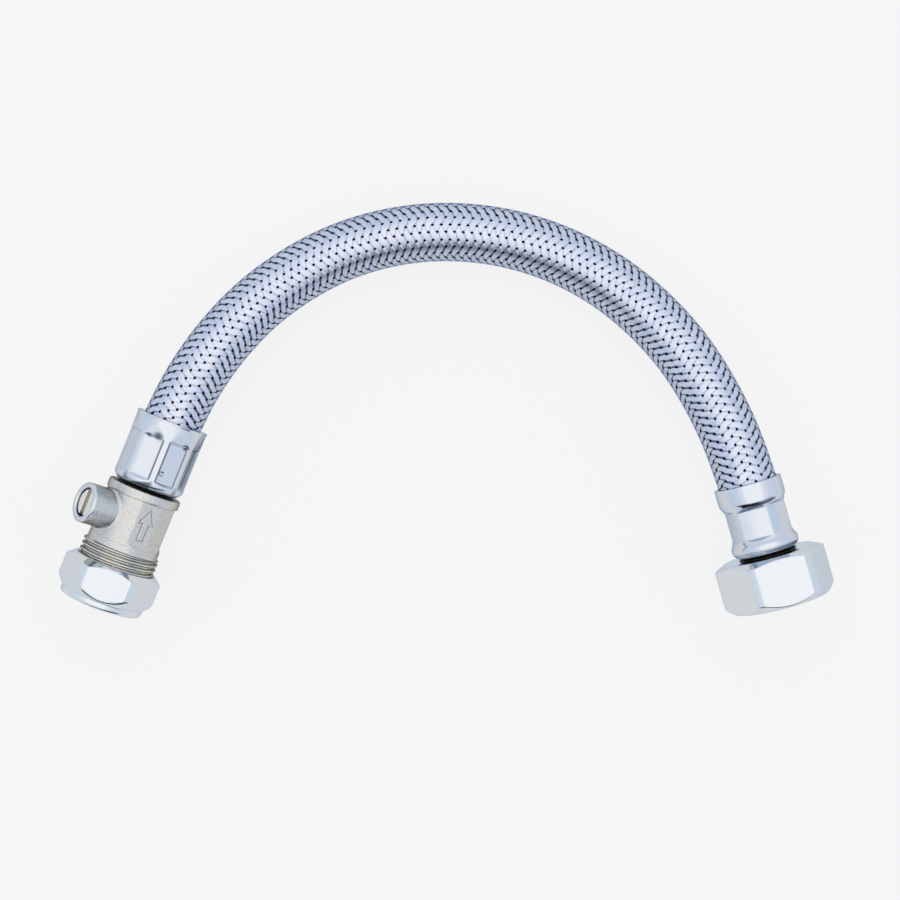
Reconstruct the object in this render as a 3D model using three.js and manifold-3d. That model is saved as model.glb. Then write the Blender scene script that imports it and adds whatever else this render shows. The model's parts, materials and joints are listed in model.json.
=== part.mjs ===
// Flexible water connector with an isolating ball valve.
// One end takes a 22 mm pipe in a compression joint, the other has a swivel nut for a 3/4 inch thread,
// and a rubber hose in a wire braid is crimped between them.
// Millimetres, +Z up. It lies on a flat surface with both fittings level and the hose arched between them.
// The origin is under the middle of the fittings' box, on that surface.

import * as THREE from 'three';
import { mergeVertices } from 'three/addons/utils/BufferGeometryUtils.js';
import Module from 'manifold-3d';

const wasm = await Module();
wasm.setup();

// Clearances
const seatGap = 0.3;
const oringGap = 0.12;
const barbGap = 0.5;

// Pipe and thread sizes
const pipeDiameter = 22;
const pipeClearance = 0.3;
const threadWall = 2.05;
const tapThreadBore = 24.6;

// Compression nut and olive
const nutWall = 1.5;
const nutFacetWidth = 2.32;
const nutLength = 14.6;
const nutLipStep = 0.7;
const nutLipLength = 2.5;
const nutLipRoundRadius = 1.4;
const nutTopStep = 0.9;
const nutTopSlope = 0.85;
const nutMouthLength = 2.5;
const nutRoll = 8.8;
const oliveLength = 6.2;
const oliveEndWall = 0.4;
const oliveMiddleWall = 1.15;
const oliveCrownShare = 0.3;

// Valve body
const bodyThreadLength = 11.3;
const bodyThreadChamfer = 0.5;
const bodyConeDepth = 1.25;
const socketDepth = 12;
const neckWall = 1.15;
const neckLength = 2.4;
const webLength = 2.8;
const chamberWall = 3.4;
const padDepth = 0.5;
const padCount = 7;
const padSpacing = 33.6;
const flangeLength = 3.1;
const flangeWall = 2.65;
const flangeEdgeRadius = 0.5;

// Boss and spindle, measured out along the boss from the valve's axis
const bossTurn = -48.4;
const bossWall = 1.95;
const bossEdgeRadius = 0.4;
const stemDiameter = 9.1;
const collarStep = 1.05;
const collarThickness = 1.5;
const thrustWasherThickness = 0.6;
const spindleRecess = 0.7;
const driverSlotWidth = 2.6;
const driverSlotDepth = 2.2;
const grooveLength = 2;
const grooveDepth = 1.35;
const grooveLand = 0.7;
const spindleHeadLength = 2.7;
const tangWidth = 2.5;

// Ball and seats
const ballDiameter = 17;
const ballBore = 11;
const ballSlotDepth = 1.8;
const seatBoreStep = 0.5;
const seatInset = 1.3;
const seatLength = 3;
const seatContactTurn = 54.2;

// Hose
const hoseDiameter = 20;
const braidThickness = 1;
const linerThickness = 2.1;
const crimpedBraidThickness = 0.65;
const crimpedLinerThickness = 1.6;
const hoseSides = 12;
const hoseStep = 13;

// Valve-end hose tail and ferrule
const tailThreadStep = 0.8;
const tailThreadLength = 2.7;
const tailBore = 9.5;
const tailWall = 1.2;
const shoulderLength = 1.2;
const shoulderStep = 0.7;
const grooveStep = 1.6;
const stemSetback = 3;
const barbPitch = 4.2;
const ferruleStandoff = 0.8;
const ferruleLength = 24;
const ferruleWall = 0.9;
const ferruleFootRadius = 1.8;
const ferruleFlats = 8;
const ferruleFlatTurn = 35.8;
const ferruleFlatStart = 3.8;
const ferruleFlatEnd = 17.4;
const ferruleFlatRamp = 2.4;
const ferruleRimFlare = 0.35;
const ferruleRimWall = 0.6;

// Swivel nut, washer, tap-end hose tail and ferrule
const swivelWall = 4.7;
const swivelFacetWidth = 2.53;
const swivelMouthSlope = 0.89;
const swivelMouthStep = 0.8;
const swivelTopSlope = 0.46;
const swivelTopStep = 1.6;
const swivelThreadLength = 9;
const swivelEndWall = 3;
const washerThickness = 2.2;
const washerWidth = 3.7;
const tapFlangeThickness = 2.2;
const tapFlangeGap = 0.6;
const tapNeckDiameter = 19;
const tapTailBore = 8.5;
const tapTailWall = 0.75;
const tapGrooveStep = 1.1;
const tapShoulderStep = 0.5;
const tapShoulderLength = 1;
const tapFerruleStandoff = 0.7;
const tapFerruleLength = 24.5;
const tapFerruleWall = 0.7;
const tapFootStep = 0.9;
const tapFootRadius = 1.8;
const tapFootLength = 3.7;
const waistStart = 6.3;
const waistEnd = 15.9;
const waistRamp = 2.4;
const waistRidge = 0.85;
const waistFlats = 6;
const waistFlatTurn = 41;
const tapMouthWall = 1.15;

// Where the two fittings lie, and how far each axis leans from +Y
const valvePlace = [-117.3, -30.68];
const valveLean = -21.9;
const tapPlace = [113.4, -30.28];
const tapLean = 16.1;

// Middle line of the free hose, from the valve ferrule's rim to the tap ferrule's rim.
// It leaves each ferrule level and straight, and sinks until it rests on the surface.
const hoseRoute = [
  [-84.8, 45.7, 15.4],
  [-75.3, 59.2, 14.1],
  [-64, 71.2, 12.4],
  [-51, 81, 11],
  [-36.6, 88.6, 10.3],
  [-21, 93.5, 10.2],
  [-4.7, 95.7, 10.2],
  [11.8, 95.1, 10.2],
  [28, 91.8, 10.2],
  [43.3, 85.9, 10.2],
  [57.3, 77.6, 10.4],
  [69.7, 67.1, 11.4],
  [80.4, 54.8, 13.1],
  [89.1, 40.9, 14.9],
  [96.2, 25.9, 16.4],
];

// How finely round forms are divided
const roundSides = 40;
const innerSides = 24;
const ringSides = 8;
const roundSteps = 3;
const ballSides = 24;
const ballRows = 14;

// How far cutters reach past what they cut, and how deep joined pieces overlap
const cutOver = 1;
const cutReach = 6;
const joinOverlap = 0.1;

// Finishes
const chrome = { color: 0xe3e6ea, metalness: 1, roughness: 0.12 };
const nickel = { color: 0xc4c0b8, metalness: 1, roughness: 0.42 };
const brass = { color: 0xc9a45c, metalness: 1, roughness: 0.3 };
const stainless = { color: 0xc9cede, metalness: 1, roughness: 0.2 };
const wire = { color: 0xc3cfe0, metalness: 0.9, roughness: 0.35 };
const rubber = { color: 0x15161a, metalness: 0, roughness: 0.8 };
const seatPlastic = { color: 0xf0eee6, metalness: 0, roughness: 0.5 };
const sealFibre = { color: 0x2b2d30, metalness: 0, roughness: 0.75 };

const radians = THREE.MathUtils.degToRad;

// Turns a closed geometry into a solid that can be joined and cut
function solid(geometry) {
  const bare = geometry.clone();
  bare.deleteAttribute('normal');
  bare.deleteAttribute('uv');
  const merged = mergeVertices(bare);
  const corners = [];
  for (let i = 0; i < merged.index.count; i += 3) {
    const [a, b, c] = [0, 1, 2].map((k) => merged.index.getX(i + k));
    if (a !== b && b !== c && c !== a) corners.push(a, b, c);
  }
  return new wasm.Manifold(new wasm.Mesh({
    numProp: 3,
    vertProperties: new Float32Array(merged.attributes.position.array),
    triVerts: new Uint32Array(corners),
  }));
}

// Turns a solid back into a geometry
function geometryOf(body) {
  const mesh = body.getMesh();
  const geometry = new THREE.BufferGeometry();
  geometry.setAttribute('position', new THREE.BufferAttribute(mesh.vertProperties, 3));
  geometry.setIndex(new THREE.BufferAttribute(mesh.triVerts, 1));
  const faceted = geometry.toNonIndexed();
  faceted.computeVertexNormals();
  return faceted;
}

function join(first, ...others) {
  return others.reduce((sum, other) => sum.add(other), first);
}

function cut(first, ...others) {
  return others.reduce((rest, other) => rest.subtract(other), first);
}

// A form turned about +Y from a closed outline of [radius, station] points
function turned(outline, sides = roundSides) {
  const points = outline.map(([radius, station]) => new THREE.Vector2(radius, station));
  if (THREE.ShapeUtils.area(points) < 0) points.reverse();
  points.push(points[0].clone());
  return solid(new THREE.LatheGeometry(points, sides));
}

// A turned bar between two stations on the axis, used to cut bores and to add bosses
function bar(radius, from, to, sides = roundSides) {
  return turned([[0, from], [radius, from], [radius, to], [0, to]], sides);
}

// A straight prism along +Y of a section given as [right, up] points
function prism(section, from, to) {
  const shape = new THREE.Shape(section.map(([right, up]) => new THREE.Vector2(right, up)));
  const geometry = new THREE.ExtrudeGeometry(shape, { depth: to - from, bevelEnabled: false });
  geometry.rotateX(Math.PI / 2);
  geometry.translate(0, to, 0);
  return solid(geometry);
}

// A cutter that leaves a flat at a distance from the axis, facing the direction turned from up to the right.
// Its ends slope outwards over the two ramps.
function flatCutter(distance, from, to, turn, startRamp, endRamp, width) {
  const section = new THREE.Shape([
    new THREE.Vector2(distance, from),
    new THREE.Vector2(distance + cutReach, from - startRamp * cutReach),
    new THREE.Vector2(distance + cutReach, to + endRamp * cutReach),
    new THREE.Vector2(distance, to),
  ]);
  const geometry = new THREE.ExtrudeGeometry(section, { depth: width, bevelEnabled: false });
  geometry.translate(0, 0, -width / 2);
  geometry.rotateY(radians(turn) - Math.PI / 2);
  return solid(geometry);
}

// How far from the axis the facets lie that cut a hexagon's corners
function facetReach(apothem, facetWidth) {
  return apothem / Math.cos(Math.PI / 6) - facetWidth / 2 / Math.tan(Math.PI / 3);
}

// The [right, up] corners of a hexagon with its six corners cut to narrow facets
function hexagon(apothem, facetWidth, roll) {
  const facet = facetReach(apothem, facetWidth);
  const halfFacet = facetWidth / 2;
  const corners = [];
  for (let k = 0; k < 6; k += 1) {
    const turn = radians(30 + 60 * k + roll);
    for (const side of [-halfFacet, halfFacet]) {
      corners.push([
        facet * Math.sin(turn) + side * Math.cos(turn),
        facet * Math.cos(turn) - side * Math.sin(turn),
      ]);
    }
  }
  return corners.reverse();
}

// How far the axis of a hexagon stands above the surface that it lies on
function restHeight(section) {
  return -Math.min(...section.map(([, up]) => up));
}

// Outline points of a rounded edge that turns from a face square to the axis to the outside
function roundedEdge(radius, station, round) {
  const points = [];
  for (let k = 0; k <= roundSteps; k += 1) {
    const turn = (k / roundSteps) * (Math.PI / 2);
    points.push([radius - round * (1 - Math.sin(turn)), station + round * (1 - Math.cos(turn))]);
  }
  return points;
}

// A barbed stem's outline points, with teeth that hold the hose against pulling off
function barbs(root, tip, from, to, pitch) {
  const points = [];
  for (let station = from; station + pitch <= to; station += pitch) {
    points.push([tip, station], [root, station + pitch]);
  }
  return points;
}

function part(name, body, finish) {
  const mesh = new THREE.Mesh(geometryOf(body), new THREE.MeshStandardMaterial(finish));
  mesh.name = name;
  return mesh;
}

// Radii that several pieces share
const socketRadius = (pipeDiameter + pipeClearance) / 2;
const threadRadius = socketRadius + threadWall;
const threadBore = threadRadius + seatGap;
const coneGap = seatGap * Math.SQRT2;
const ballRadius = ballDiameter / 2;
const seatReach = ballRadius - seatInset;
const seatFront = seatReach - seatLength;
const chamberRadius = ballRadius + seatGap;
const bodyRadius = chamberRadius + chamberWall;
const stemRadius = stemDiameter / 2;
const stemBore = stemRadius + seatGap;
const collarRadius = stemRadius + collarStep;
const bossRadius = stemBore + bossWall;
const hoseRadius = hoseDiameter / 2;
const ferruleBore = hoseRadius + seatGap;
const linerRadius = hoseRadius - braidThickness - seatGap;
const linerBore = linerRadius - linerThickness;
const tailThreadRadius = chamberRadius + tailThreadStep;

// Stations of the valve end, from the nut's mouth towards the hose
const oliveStart = nutMouthLength + oliveEndWall + coneGap;
const oliveEnd = oliveStart + oliveLength;
const bodyStart = oliveEnd + oliveEndWall + coneGap - bodyConeDepth;
const threadEnd = bodyStart + bodyThreadLength;
const neckEnd = threadEnd + neckLength;
const socketEnd = bodyStart + socketDepth;
const webEnd = socketEnd + webLength;
const ballStation = webEnd + seatGap + seatReach;
const tailStart = ballStation + seatReach + seatGap;
const bodyEnd = tailStart + tailThreadLength;
const ferruleStart = bodyEnd + ferruleStandoff;
const ferruleEnd = ferruleStart + ferruleLength;
const shoulderStart = ferruleStart + ferruleWall + seatGap;
const shoulderEnd = shoulderStart + shoulderLength;

// Stations of the tap end, from the nut's mouth towards the hose
const washerEnd = swivelThreadLength + washerThickness;
const tapFlangeStart = washerEnd + seatGap;
const tapFlangeEnd = tapFlangeStart + tapFlangeThickness;
const endWallStart = tapFlangeEnd + seatGap;
const swivelLength = endWallStart + swivelEndWall;
const tapFerruleStart = swivelLength + tapFerruleStandoff;
const tapFerruleEnd = tapFerruleStart + tapFerruleLength;
const tapShoulderStart = tapFerruleStart + tapFerruleWall + seatGap;
const tapShoulderEnd = tapShoulderStart + tapShoulderLength;

// Radii of the tap end, from the bore of its tail outwards
const tapStemRadius = tapTailBore / 2 + tapTailWall;
const crimpedLinerBore = tapStemRadius + barbGap + seatGap;
const crimpedLinerRadius = crimpedLinerBore + crimpedLinerThickness;
const crimpedBraidBore = crimpedLinerRadius + seatGap;
const crimpedBraidRadius = crimpedBraidBore + crimpedBraidThickness;
const waistBore = crimpedBraidRadius + seatGap;
const waistFlat = waistBore + tapFerruleWall;
const tapMouthRadius = ferruleBore + tapMouthWall;

const nutApothem = threadBore + nutWall;
const nutSection = hexagon(nutApothem, nutFacetWidth, nutRoll);
const swivelApothem = tapThreadBore / 2 + swivelWall;
const swivelSection = hexagon(swivelApothem, swivelFacetWidth, 0);

function compressionNut() {
  const outer = facetReach(nutApothem, nutFacetWidth) + cutOver;
  const lip = nutApothem - nutLipStep;
  const envelope = turned([
    [0, 0],
    ...roundedEdge(lip, 0, nutLipRoundRadius),
    [lip, nutLipLength],
    [outer, nutLipLength + outer - lip],
    [outer, nutLength - nutTopSlope * (outer - nutApothem + nutTopStep)],
    [nutApothem - nutTopStep, nutLength],
    [0, nutLength],
  ]);
  const bore = turned([
    [0, -cutOver],
    [socketRadius, -cutOver],
    [socketRadius, nutMouthLength],
    [threadBore, nutMouthLength + threadBore - socketRadius],
    [threadBore, nutLength + cutOver],
    [0, nutLength + cutOver],
  ]);
  return cut(prism(nutSection, 0, nutLength).intersect(envelope), bore);
}

// A barrel ring that the two cones squeeze onto the pipe
function olive() {
  const shoulder = oliveLength * (1 - oliveCrownShare) / 2;
  return turned([
    [socketRadius, oliveStart],
    [socketRadius + oliveEndWall, oliveStart],
    [socketRadius + oliveMiddleWall, oliveStart + shoulder],
    [socketRadius + oliveMiddleWall, oliveEnd - shoulder],
    [socketRadius + oliveEndWall, oliveEnd],
    [socketRadius, oliveEnd],
  ], innerSides);
}

function bodyOutside() {
  const neckRadius = socketRadius + neckWall;
  const flangeRadius = tailThreadRadius + seatGap + flangeWall;
  const flangeStart = bodyEnd - flangeLength;
  return turned([
    [0, bodyStart],
    [threadRadius - bodyThreadChamfer, bodyStart],
    [threadRadius, bodyStart + bodyThreadChamfer],
    [threadRadius, threadEnd],
    [neckRadius, threadEnd],
    [neckRadius, neckEnd],
    [bodyRadius, neckEnd],
    [bodyRadius, flangeStart],
    [flangeRadius - flangeEdgeRadius, flangeStart],
    [flangeRadius, flangeStart + flangeEdgeRadius],
    [flangeRadius, bodyEnd - flangeEdgeRadius],
    [flangeRadius - flangeEdgeRadius, bodyEnd],
    [0, bodyEnd],
  ]);
}

// Pipe socket with its cone, waterway, ball chamber and the thread for the hose tail
function bodyBore() {
  const waterway = ballBore / 2 + seatBoreStep;
  const ledge = tailStart - seatGap;
  return turned([
    [0, bodyStart - cutOver],
    [socketRadius + bodyConeDepth + cutOver, bodyStart - cutOver],
    [socketRadius, bodyStart + bodyConeDepth],
    [socketRadius, socketEnd],
    [waterway, socketEnd],
    [waterway, webEnd],
    [chamberRadius, webEnd],
    [chamberRadius, ledge],
    [tailThreadRadius + seatGap, ledge],
    [tailThreadRadius + seatGap, bodyEnd + cutOver],
    [0, bodyEnd + cutOver],
  ]);
}

// Stations out along the boss
const collarStart = ballRadius + seatGap;
const collarEnd = collarStart + collarThickness;
const thrustWasherStart = collarEnd + seatGap;
const thrustWasherEnd = thrustWasherStart + thrustWasherThickness;
const counterboreEnd = thrustWasherEnd + seatGap;
const firstGroove = counterboreEnd + grooveLand;
const secondGroove = firstGroove + grooveLength + grooveLand;
const spindleEnd = secondGroove + grooveLength + spindleHeadLength;
const bossReach = spindleEnd + spindleRecess;

// The turn that takes a piece from the boss's own frame, with +Y out along the boss, to the valve's
const bossFrame = new THREE.Matrix4().makeRotationFromEuler(
  new THREE.Euler(Math.PI / 2, radians(bossTurn), 0, 'YXZ'),
);
const bossPlace = new THREE.Matrix4().makeTranslation(0, ballStation, 0).multiply(bossFrame);

function onBoss(body) {
  return body.transform(bossPlace.elements);
}

function valveBody() {
  const boss = turned([
    [0, 0],
    [bossRadius, 0],
    [bossRadius, bossReach - bossEdgeRadius],
    [bossRadius - bossEdgeRadius, bossReach],
    [0, bossReach],
  ]);
  const collarPocket = bar(collarRadius + seatGap, 0, counterboreEnd, innerSides);
  const stemHole = bar(stemBore, 0, bossReach + cutOver, innerSides);
  const pads = [];
  for (let k = 0; k < padCount; k += 1) {
    const turn = bossTurn + 180 + (k - (padCount - 1) / 2) * padSpacing;
    pads.push(flatCutter(bodyRadius - padDepth, neckEnd, bodyEnd - flangeLength, turn, 0, 0, bodyRadius));
  }
  const outside = cut(bodyOutside(), ...pads);
  return cut(join(outside, onBoss(boss)), bodyBore(), onBoss(collarPocket), onBoss(stemHole));
}

// The ball in the boss's frame, with its bore along Z and the drive slot across it along X
function ball() {
  const bore = new THREE.CylinderGeometry(ballBore / 2, ballBore / 2, ballDiameter + cutOver, innerSides);
  bore.rotateX(Math.PI / 2);
  const slotBottom = ballRadius - ballSlotDepth;
  const slot = new THREE.BoxGeometry(ballDiameter, ballRadius, tangWidth + 2 * seatGap);
  slot.translate(0, slotBottom + ballRadius / 2, 0);
  return cut(solid(new THREE.SphereGeometry(ballRadius, ballSides, ballRows)), solid(bore), solid(slot));
}

// A seat ring whose cone touches the ball, on the side of the ball that the sign gives
function seatRing(side) {
  const inner = ballBore / 2 + seatBoreStep;
  const contact = ballRadius + seatGap;
  const turn = radians(seatContactTurn);
  const [touchRadius, touchReach] = [contact * Math.sin(turn), contact * Math.cos(turn)];
  const coneReach = (radius) => touchReach + (touchRadius - radius) * Math.tan(turn);
  const frontRadius = touchRadius + (touchReach - seatFront) / Math.tan(turn);
  const outline = [
    [inner, seatReach],
    [inner, coneReach(inner)],
    [frontRadius, seatFront],
    [ballRadius, seatFront],
    [ballRadius, seatReach],
  ];
  return turned(outline.map(([radius, reach]) => [radius, ballStation + side * reach]), innerSides);
}

// The spindle in the boss's frame: a tang in the ball's slot, a collar under the washer, a grooved stem
// and a screwdriver slot that lies along the valve when it is open
function spindle() {
  const grooveRadius = stemRadius - grooveDepth;
  const stem = turned([
    [0, collarStart],
    [collarRadius, collarStart],
    [collarRadius, collarEnd],
    [stemRadius, collarEnd],
    [stemRadius, firstGroove],
    [grooveRadius, firstGroove],
    [grooveRadius, firstGroove + grooveLength],
    [stemRadius, firstGroove + grooveLength],
    [stemRadius, secondGroove],
    [grooveRadius, secondGroove],
    [grooveRadius, secondGroove + grooveLength],
    [stemRadius, secondGroove + grooveLength],
    [stemRadius, spindleEnd - bossEdgeRadius],
    [stemRadius - bossEdgeRadius, spindleEnd],
    [0, spindleEnd],
  ], innerSides);
  const tangStart = ballRadius - ballSlotDepth + seatGap;
  const tangTop = collarStart + collarThickness / 2;
  const tangLength = 2 * Math.sqrt((seatFront - seatGap) ** 2 - (tangWidth / 2) ** 2);
  const tang = new THREE.BoxGeometry(tangLength, tangTop - tangStart, tangWidth);
  tang.translate(0, (tangTop + tangStart) / 2, 0);
  const slot = new THREE.BoxGeometry(driverSlotWidth, 2 * driverSlotDepth, 2 * stemDiameter);
  slot.translate(0, spindleEnd, 0);
  return cut(join(stem, solid(tang)), solid(slot));
}

function thrustWasher() {
  return turned([
    [stemBore, thrustWasherStart],
    [collarRadius, thrustWasherStart],
    [collarRadius, thrustWasherEnd],
    [stemBore, thrustWasherEnd],
  ], innerSides);
}

// An O-ring in a groove of the spindle that starts at a station
function stemOring(start) {
  const grooveRadius = stemRadius - grooveDepth;
  const section = (stemBore - grooveRadius) / 2 - oringGap;
  const middle = (stemBore + grooveRadius) / 2;
  const ring = new THREE.TorusGeometry(middle, section, ringSides, innerSides);
  ring.rotateX(Math.PI / 2);
  ring.translate(0, start + grooveLength / 2, 0);
  return solid(ring);
}

// The tail that screws into the valve's outlet, holds the outlet seat and carries the hose on its barbs
function valveHoseTail() {
  const stemRoot = tailBore / 2 + tailWall;
  const stemTip = linerBore - barbGap;
  const stemEnd = ferruleEnd - stemSetback;
  const grooveRadius = tailThreadRadius - grooveStep;
  return turned([
    [tailBore / 2, tailStart],
    [tailThreadRadius, tailStart],
    [tailThreadRadius, ferruleStart - seatGap],
    [grooveRadius, ferruleStart - seatGap],
    [grooveRadius, shoulderStart],
    [grooveRadius + shoulderStep, shoulderStart],
    [grooveRadius + shoulderStep, shoulderEnd],
    [stemRoot, shoulderEnd],
    ...barbs(stemRoot, stemTip, shoulderEnd + barbPitch / 2, stemEnd, barbPitch),
    [stemRoot, stemEnd],
    [tailBore / 2, stemEnd],
  ], innerSides);
}

// A thin sleeve, rolled in at its foot and crimped to eight flats onto the hose
function valveEndFerrule() {
  const flat = ferruleBore + ferruleWall;
  const ridge = flat / Math.cos(Math.PI / ferruleFlats);
  const lip = tailThreadRadius - grooveStep + seatGap;
  const sleeve = turned([
    [lip, ferruleStart],
    ...roundedEdge(ridge, ferruleStart, ferruleFootRadius),
    [ridge, ferruleEnd - ferruleFootRadius],
    [ridge + ferruleRimFlare, ferruleEnd],
    [ridge + ferruleRimFlare - ferruleRimWall, ferruleEnd],
    [ferruleBore, ferruleEnd - 2 * ferruleFootRadius],
    [ferruleBore, ferruleStart + 2 * ferruleWall],
    [ferruleBore - ferruleWall, ferruleStart + ferruleWall],
    [lip, ferruleStart + ferruleWall],
  ]);
  const flats = [];
  for (let k = 0; k < ferruleFlats; k += 1) {
    const turn = ferruleFlatTurn + k * (360 / ferruleFlats);
    const from = ferruleStart + ferruleFlatStart;
    flats.push(flatCutter(flat, from, ferruleStart + ferruleFlatEnd, turn, 1, ferruleFlatRamp, ridge));
  }
  return cut(sleeve, ...flats);
}

// The tail behind the swivel nut: its flange carries the sealing washer and its barbs the hose
function tapHoseTail() {
  const neckRadius = tapNeckDiameter / 2;
  const grooveRadius = waistBore - tapGrooveStep;
  const stemTip = crimpedLinerBore - barbGap;
  const stemEnd = tapFerruleEnd - stemSetback;
  const flangeRadius = tapThreadBore / 2 - tapFlangeGap;
  return turned([
    [tapTailBore / 2, tapFlangeStart],
    [flangeRadius, tapFlangeStart],
    [flangeRadius, tapFlangeEnd],
    [neckRadius, tapFlangeEnd],
    [neckRadius, tapFerruleStart - seatGap],
    [grooveRadius, tapFerruleStart - seatGap],
    [grooveRadius, tapShoulderStart],
    [grooveRadius + tapShoulderStep, tapShoulderStart],
    [grooveRadius + tapShoulderStep, tapShoulderEnd],
    [tapStemRadius, tapShoulderEnd],
    ...barbs(tapStemRadius, stemTip, tapShoulderEnd + barbPitch / 2, stemEnd, barbPitch),
    [tapStemRadius, stemEnd],
    [tapTailBore / 2, stemEnd],
  ], innerSides);
}

// A thin sleeve with a rounded foot, a waist crimped to six flats and a straight mouth
function tapEndFerrule() {
  const ridge = waistFlat + waistRidge;
  const lip = waistBore - tapGrooveStep + seatGap;
  const foot = tapMouthRadius;
  const base = tapFerruleStart;
  const sleeve = turned([
    [lip, base],
    ...roundedEdge(foot, base, tapFootRadius),
    [foot, base + tapFootLength],
    [ridge, base + waistStart],
    [ridge, base + waistEnd],
    [tapMouthRadius, base + waistEnd + waistRamp],
    [tapMouthRadius, tapFerruleEnd],
    [ferruleBore, tapFerruleEnd],
    [ferruleBore, base + waistEnd + waistRamp],
    [waistBore, base + waistEnd],
    [waistBore, base + waistStart],
    [foot - tapFootStep, base + tapFootLength],
    [foot - tapFootStep, base + tapFootRadius],
    [foot - tapFootRadius, base + tapFerruleWall],
    [lip, base + tapFerruleWall],
  ]);
  const flats = [];
  for (let k = 0; k < waistFlats; k += 1) {
    const turn = waistFlatTurn + k * (360 / waistFlats);
    flats.push(flatCutter(waistFlat, base + waistStart, base + waistEnd, turn, 1, 1, ridge));
  }
  return cut(sleeve, ...flats);
}

function swivelNut() {
  const outer = facetReach(swivelApothem, swivelFacetWidth) + cutOver;
  const mouthLand = swivelApothem - swivelMouthStep;
  const topLand = swivelApothem - swivelTopStep;
  const envelope = turned([
    [0, 0],
    [mouthLand, 0],
    [outer, swivelMouthSlope * (outer - mouthLand)],
    [outer, swivelLength - swivelTopSlope * (outer - topLand)],
    [topLand, swivelLength],
    [0, swivelLength],
  ]);
  const mouthRadius = tapThreadBore / 2 + cutOver;
  const bore = turned([
    [0, -cutOver],
    [mouthRadius + cutOver, -cutOver],
    [mouthRadius - cutOver, cutOver],
    [tapThreadBore / 2, endWallStart],
    [tapNeckDiameter / 2 + seatGap, endWallStart],
    [tapNeckDiameter / 2 + seatGap, swivelLength + cutOver],
    [0, swivelLength + cutOver],
  ]);
  return cut(prism(swivelSection, 0, swivelLength).intersect(envelope), bore);
}

function tapWasher() {
  const outer = tapThreadBore / 2 - tapFlangeGap;
  return turned([
    [outer - washerWidth, swivelThreadLength],
    [outer, swivelThreadLength],
    [outer, washerEnd],
    [outer - washerWidth, washerEnd],
  ], innerSides);
}

// The two fittings, each a group with +Y along its axis towards the hose
const valveEnd = new THREE.Group();
valveEnd.position.set(...valvePlace, restHeight(nutSection));
valveEnd.rotation.z = radians(valveLean);
valveEnd.add(
  part('compression_nut', compressionNut(), chrome),
  part('olive', olive(), brass),
  part('valve_body', valveBody(), nickel),
  part('inlet_seat', seatRing(-1), seatPlastic),
  part('outlet_seat', seatRing(1), seatPlastic),
  part('valve_hose_tail', valveHoseTail(), brass),
  part('valve_end_ferrule', valveEndFerrule(), stainless),
);

const spindleSet = new THREE.Group();
spindleSet.position.y = ballStation;
spindleSet.rotation.setFromRotationMatrix(bossFrame);
spindleSet.add(
  part('ball', ball(), chrome),
  part('spindle', spindle(), nickel),
  part('spindle_thrust_washer', thrustWasher(), seatPlastic),
  part('spindle_oring_inner', stemOring(firstGroove), rubber),
  part('spindle_oring_outer', stemOring(secondGroove), rubber),
);
valveEnd.add(spindleSet);

const tapEnd = new THREE.Group();
tapEnd.position.set(...tapPlace, restHeight(swivelSection));
tapEnd.rotation.z = radians(tapLean);
tapEnd.add(
  part('swivel_nut', swivelNut(), chrome),
  part('tap_washer', tapWasher(), sealFibre),
  part('tap_hose_tail', tapHoseTail(), brass),
  part('tap_end_ferrule', tapEndFerrule(), stainless),
);
valveEnd.updateMatrixWorld(true);
tapEnd.updateMatrixWorld(true);

// The hose runs from the shoulder of one tail to the shoulder of the other.
// Its full round stops inside the tap ferrule's mouth, where the crimped stretch takes over.
const hoseStart = shoulderEnd + seatGap;
const crimpStart = tapShoulderEnd + seatGap;
const crimpRampStart = tapFerruleStart + waistEnd;
const crimpRampEnd = crimpRampStart + waistRamp;
const fullRoundEnd = crimpRampEnd + cutOver;
const onValveAxis = (station) => new THREE.Vector3(0, station, 0).applyMatrix4(valveEnd.matrixWorld);
const onTapAxis = (station) => new THREE.Vector3(0, station, 0).applyMatrix4(tapEnd.matrixWorld);
const route = new THREE.CatmullRomCurve3([
  onValveAxis(hoseStart),
  onValveAxis((hoseStart + ferruleEnd) / 2),
  onValveAxis(ferruleEnd),
  ...hoseRoute.map((point) => new THREE.Vector3(...point)),
  onTapAxis(tapFerruleEnd),
  onTapAxis((tapFerruleEnd + fullRoundEnd) / 2),
  onTapAxis(fullRoundEnd),
]);

// One layer of the hose: a tube along the route joined to its crimped stretch
function hoseLayer(outer, inner, crimpedOuter, crimpedInner) {
  const tubeInner = inner / Math.cos(Math.PI / hoseSides);
  const section = new THREE.Shape().absarc(0, 0, outer, 0, 2 * Math.PI, false);
  section.holes.push(new THREE.Path().absarc(0, 0, tubeInner, 0, 2 * Math.PI, true));
  const tube = solid(new THREE.ExtrudeGeometry(section, {
    steps: Math.round(route.getLength() / hoseStep),
    curveSegments: hoseSides / 2,
    extrudePath: route,
  }));
  const crimped = turned([
    [crimpedInner, crimpStart],
    [crimpedOuter, crimpStart],
    [crimpedOuter, crimpRampStart],
    [outer + joinOverlap, crimpRampEnd],
    [outer + joinOverlap, fullRoundEnd + cutOver / 2],
    [inner - joinOverlap, fullRoundEnd + cutOver / 2],
    [inner - joinOverlap, crimpRampEnd],
    [crimpedInner, crimpRampStart],
  ], innerSides).transform(tapEnd.matrixWorld.elements);
  return join(tube, crimped);
}

const braid = hoseLayer(hoseRadius, hoseRadius - braidThickness, crimpedBraidRadius, crimpedBraidBore);
const liner = hoseLayer(linerRadius, linerBore, crimpedLinerRadius, crimpedLinerBore);

const connector = new THREE.Group();
connector.name = 'isolating_valve_connector';
connector.add(valveEnd, tapEnd, part('hose_braid', braid, wire), part('hose_liner', liner, rubber));

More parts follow.
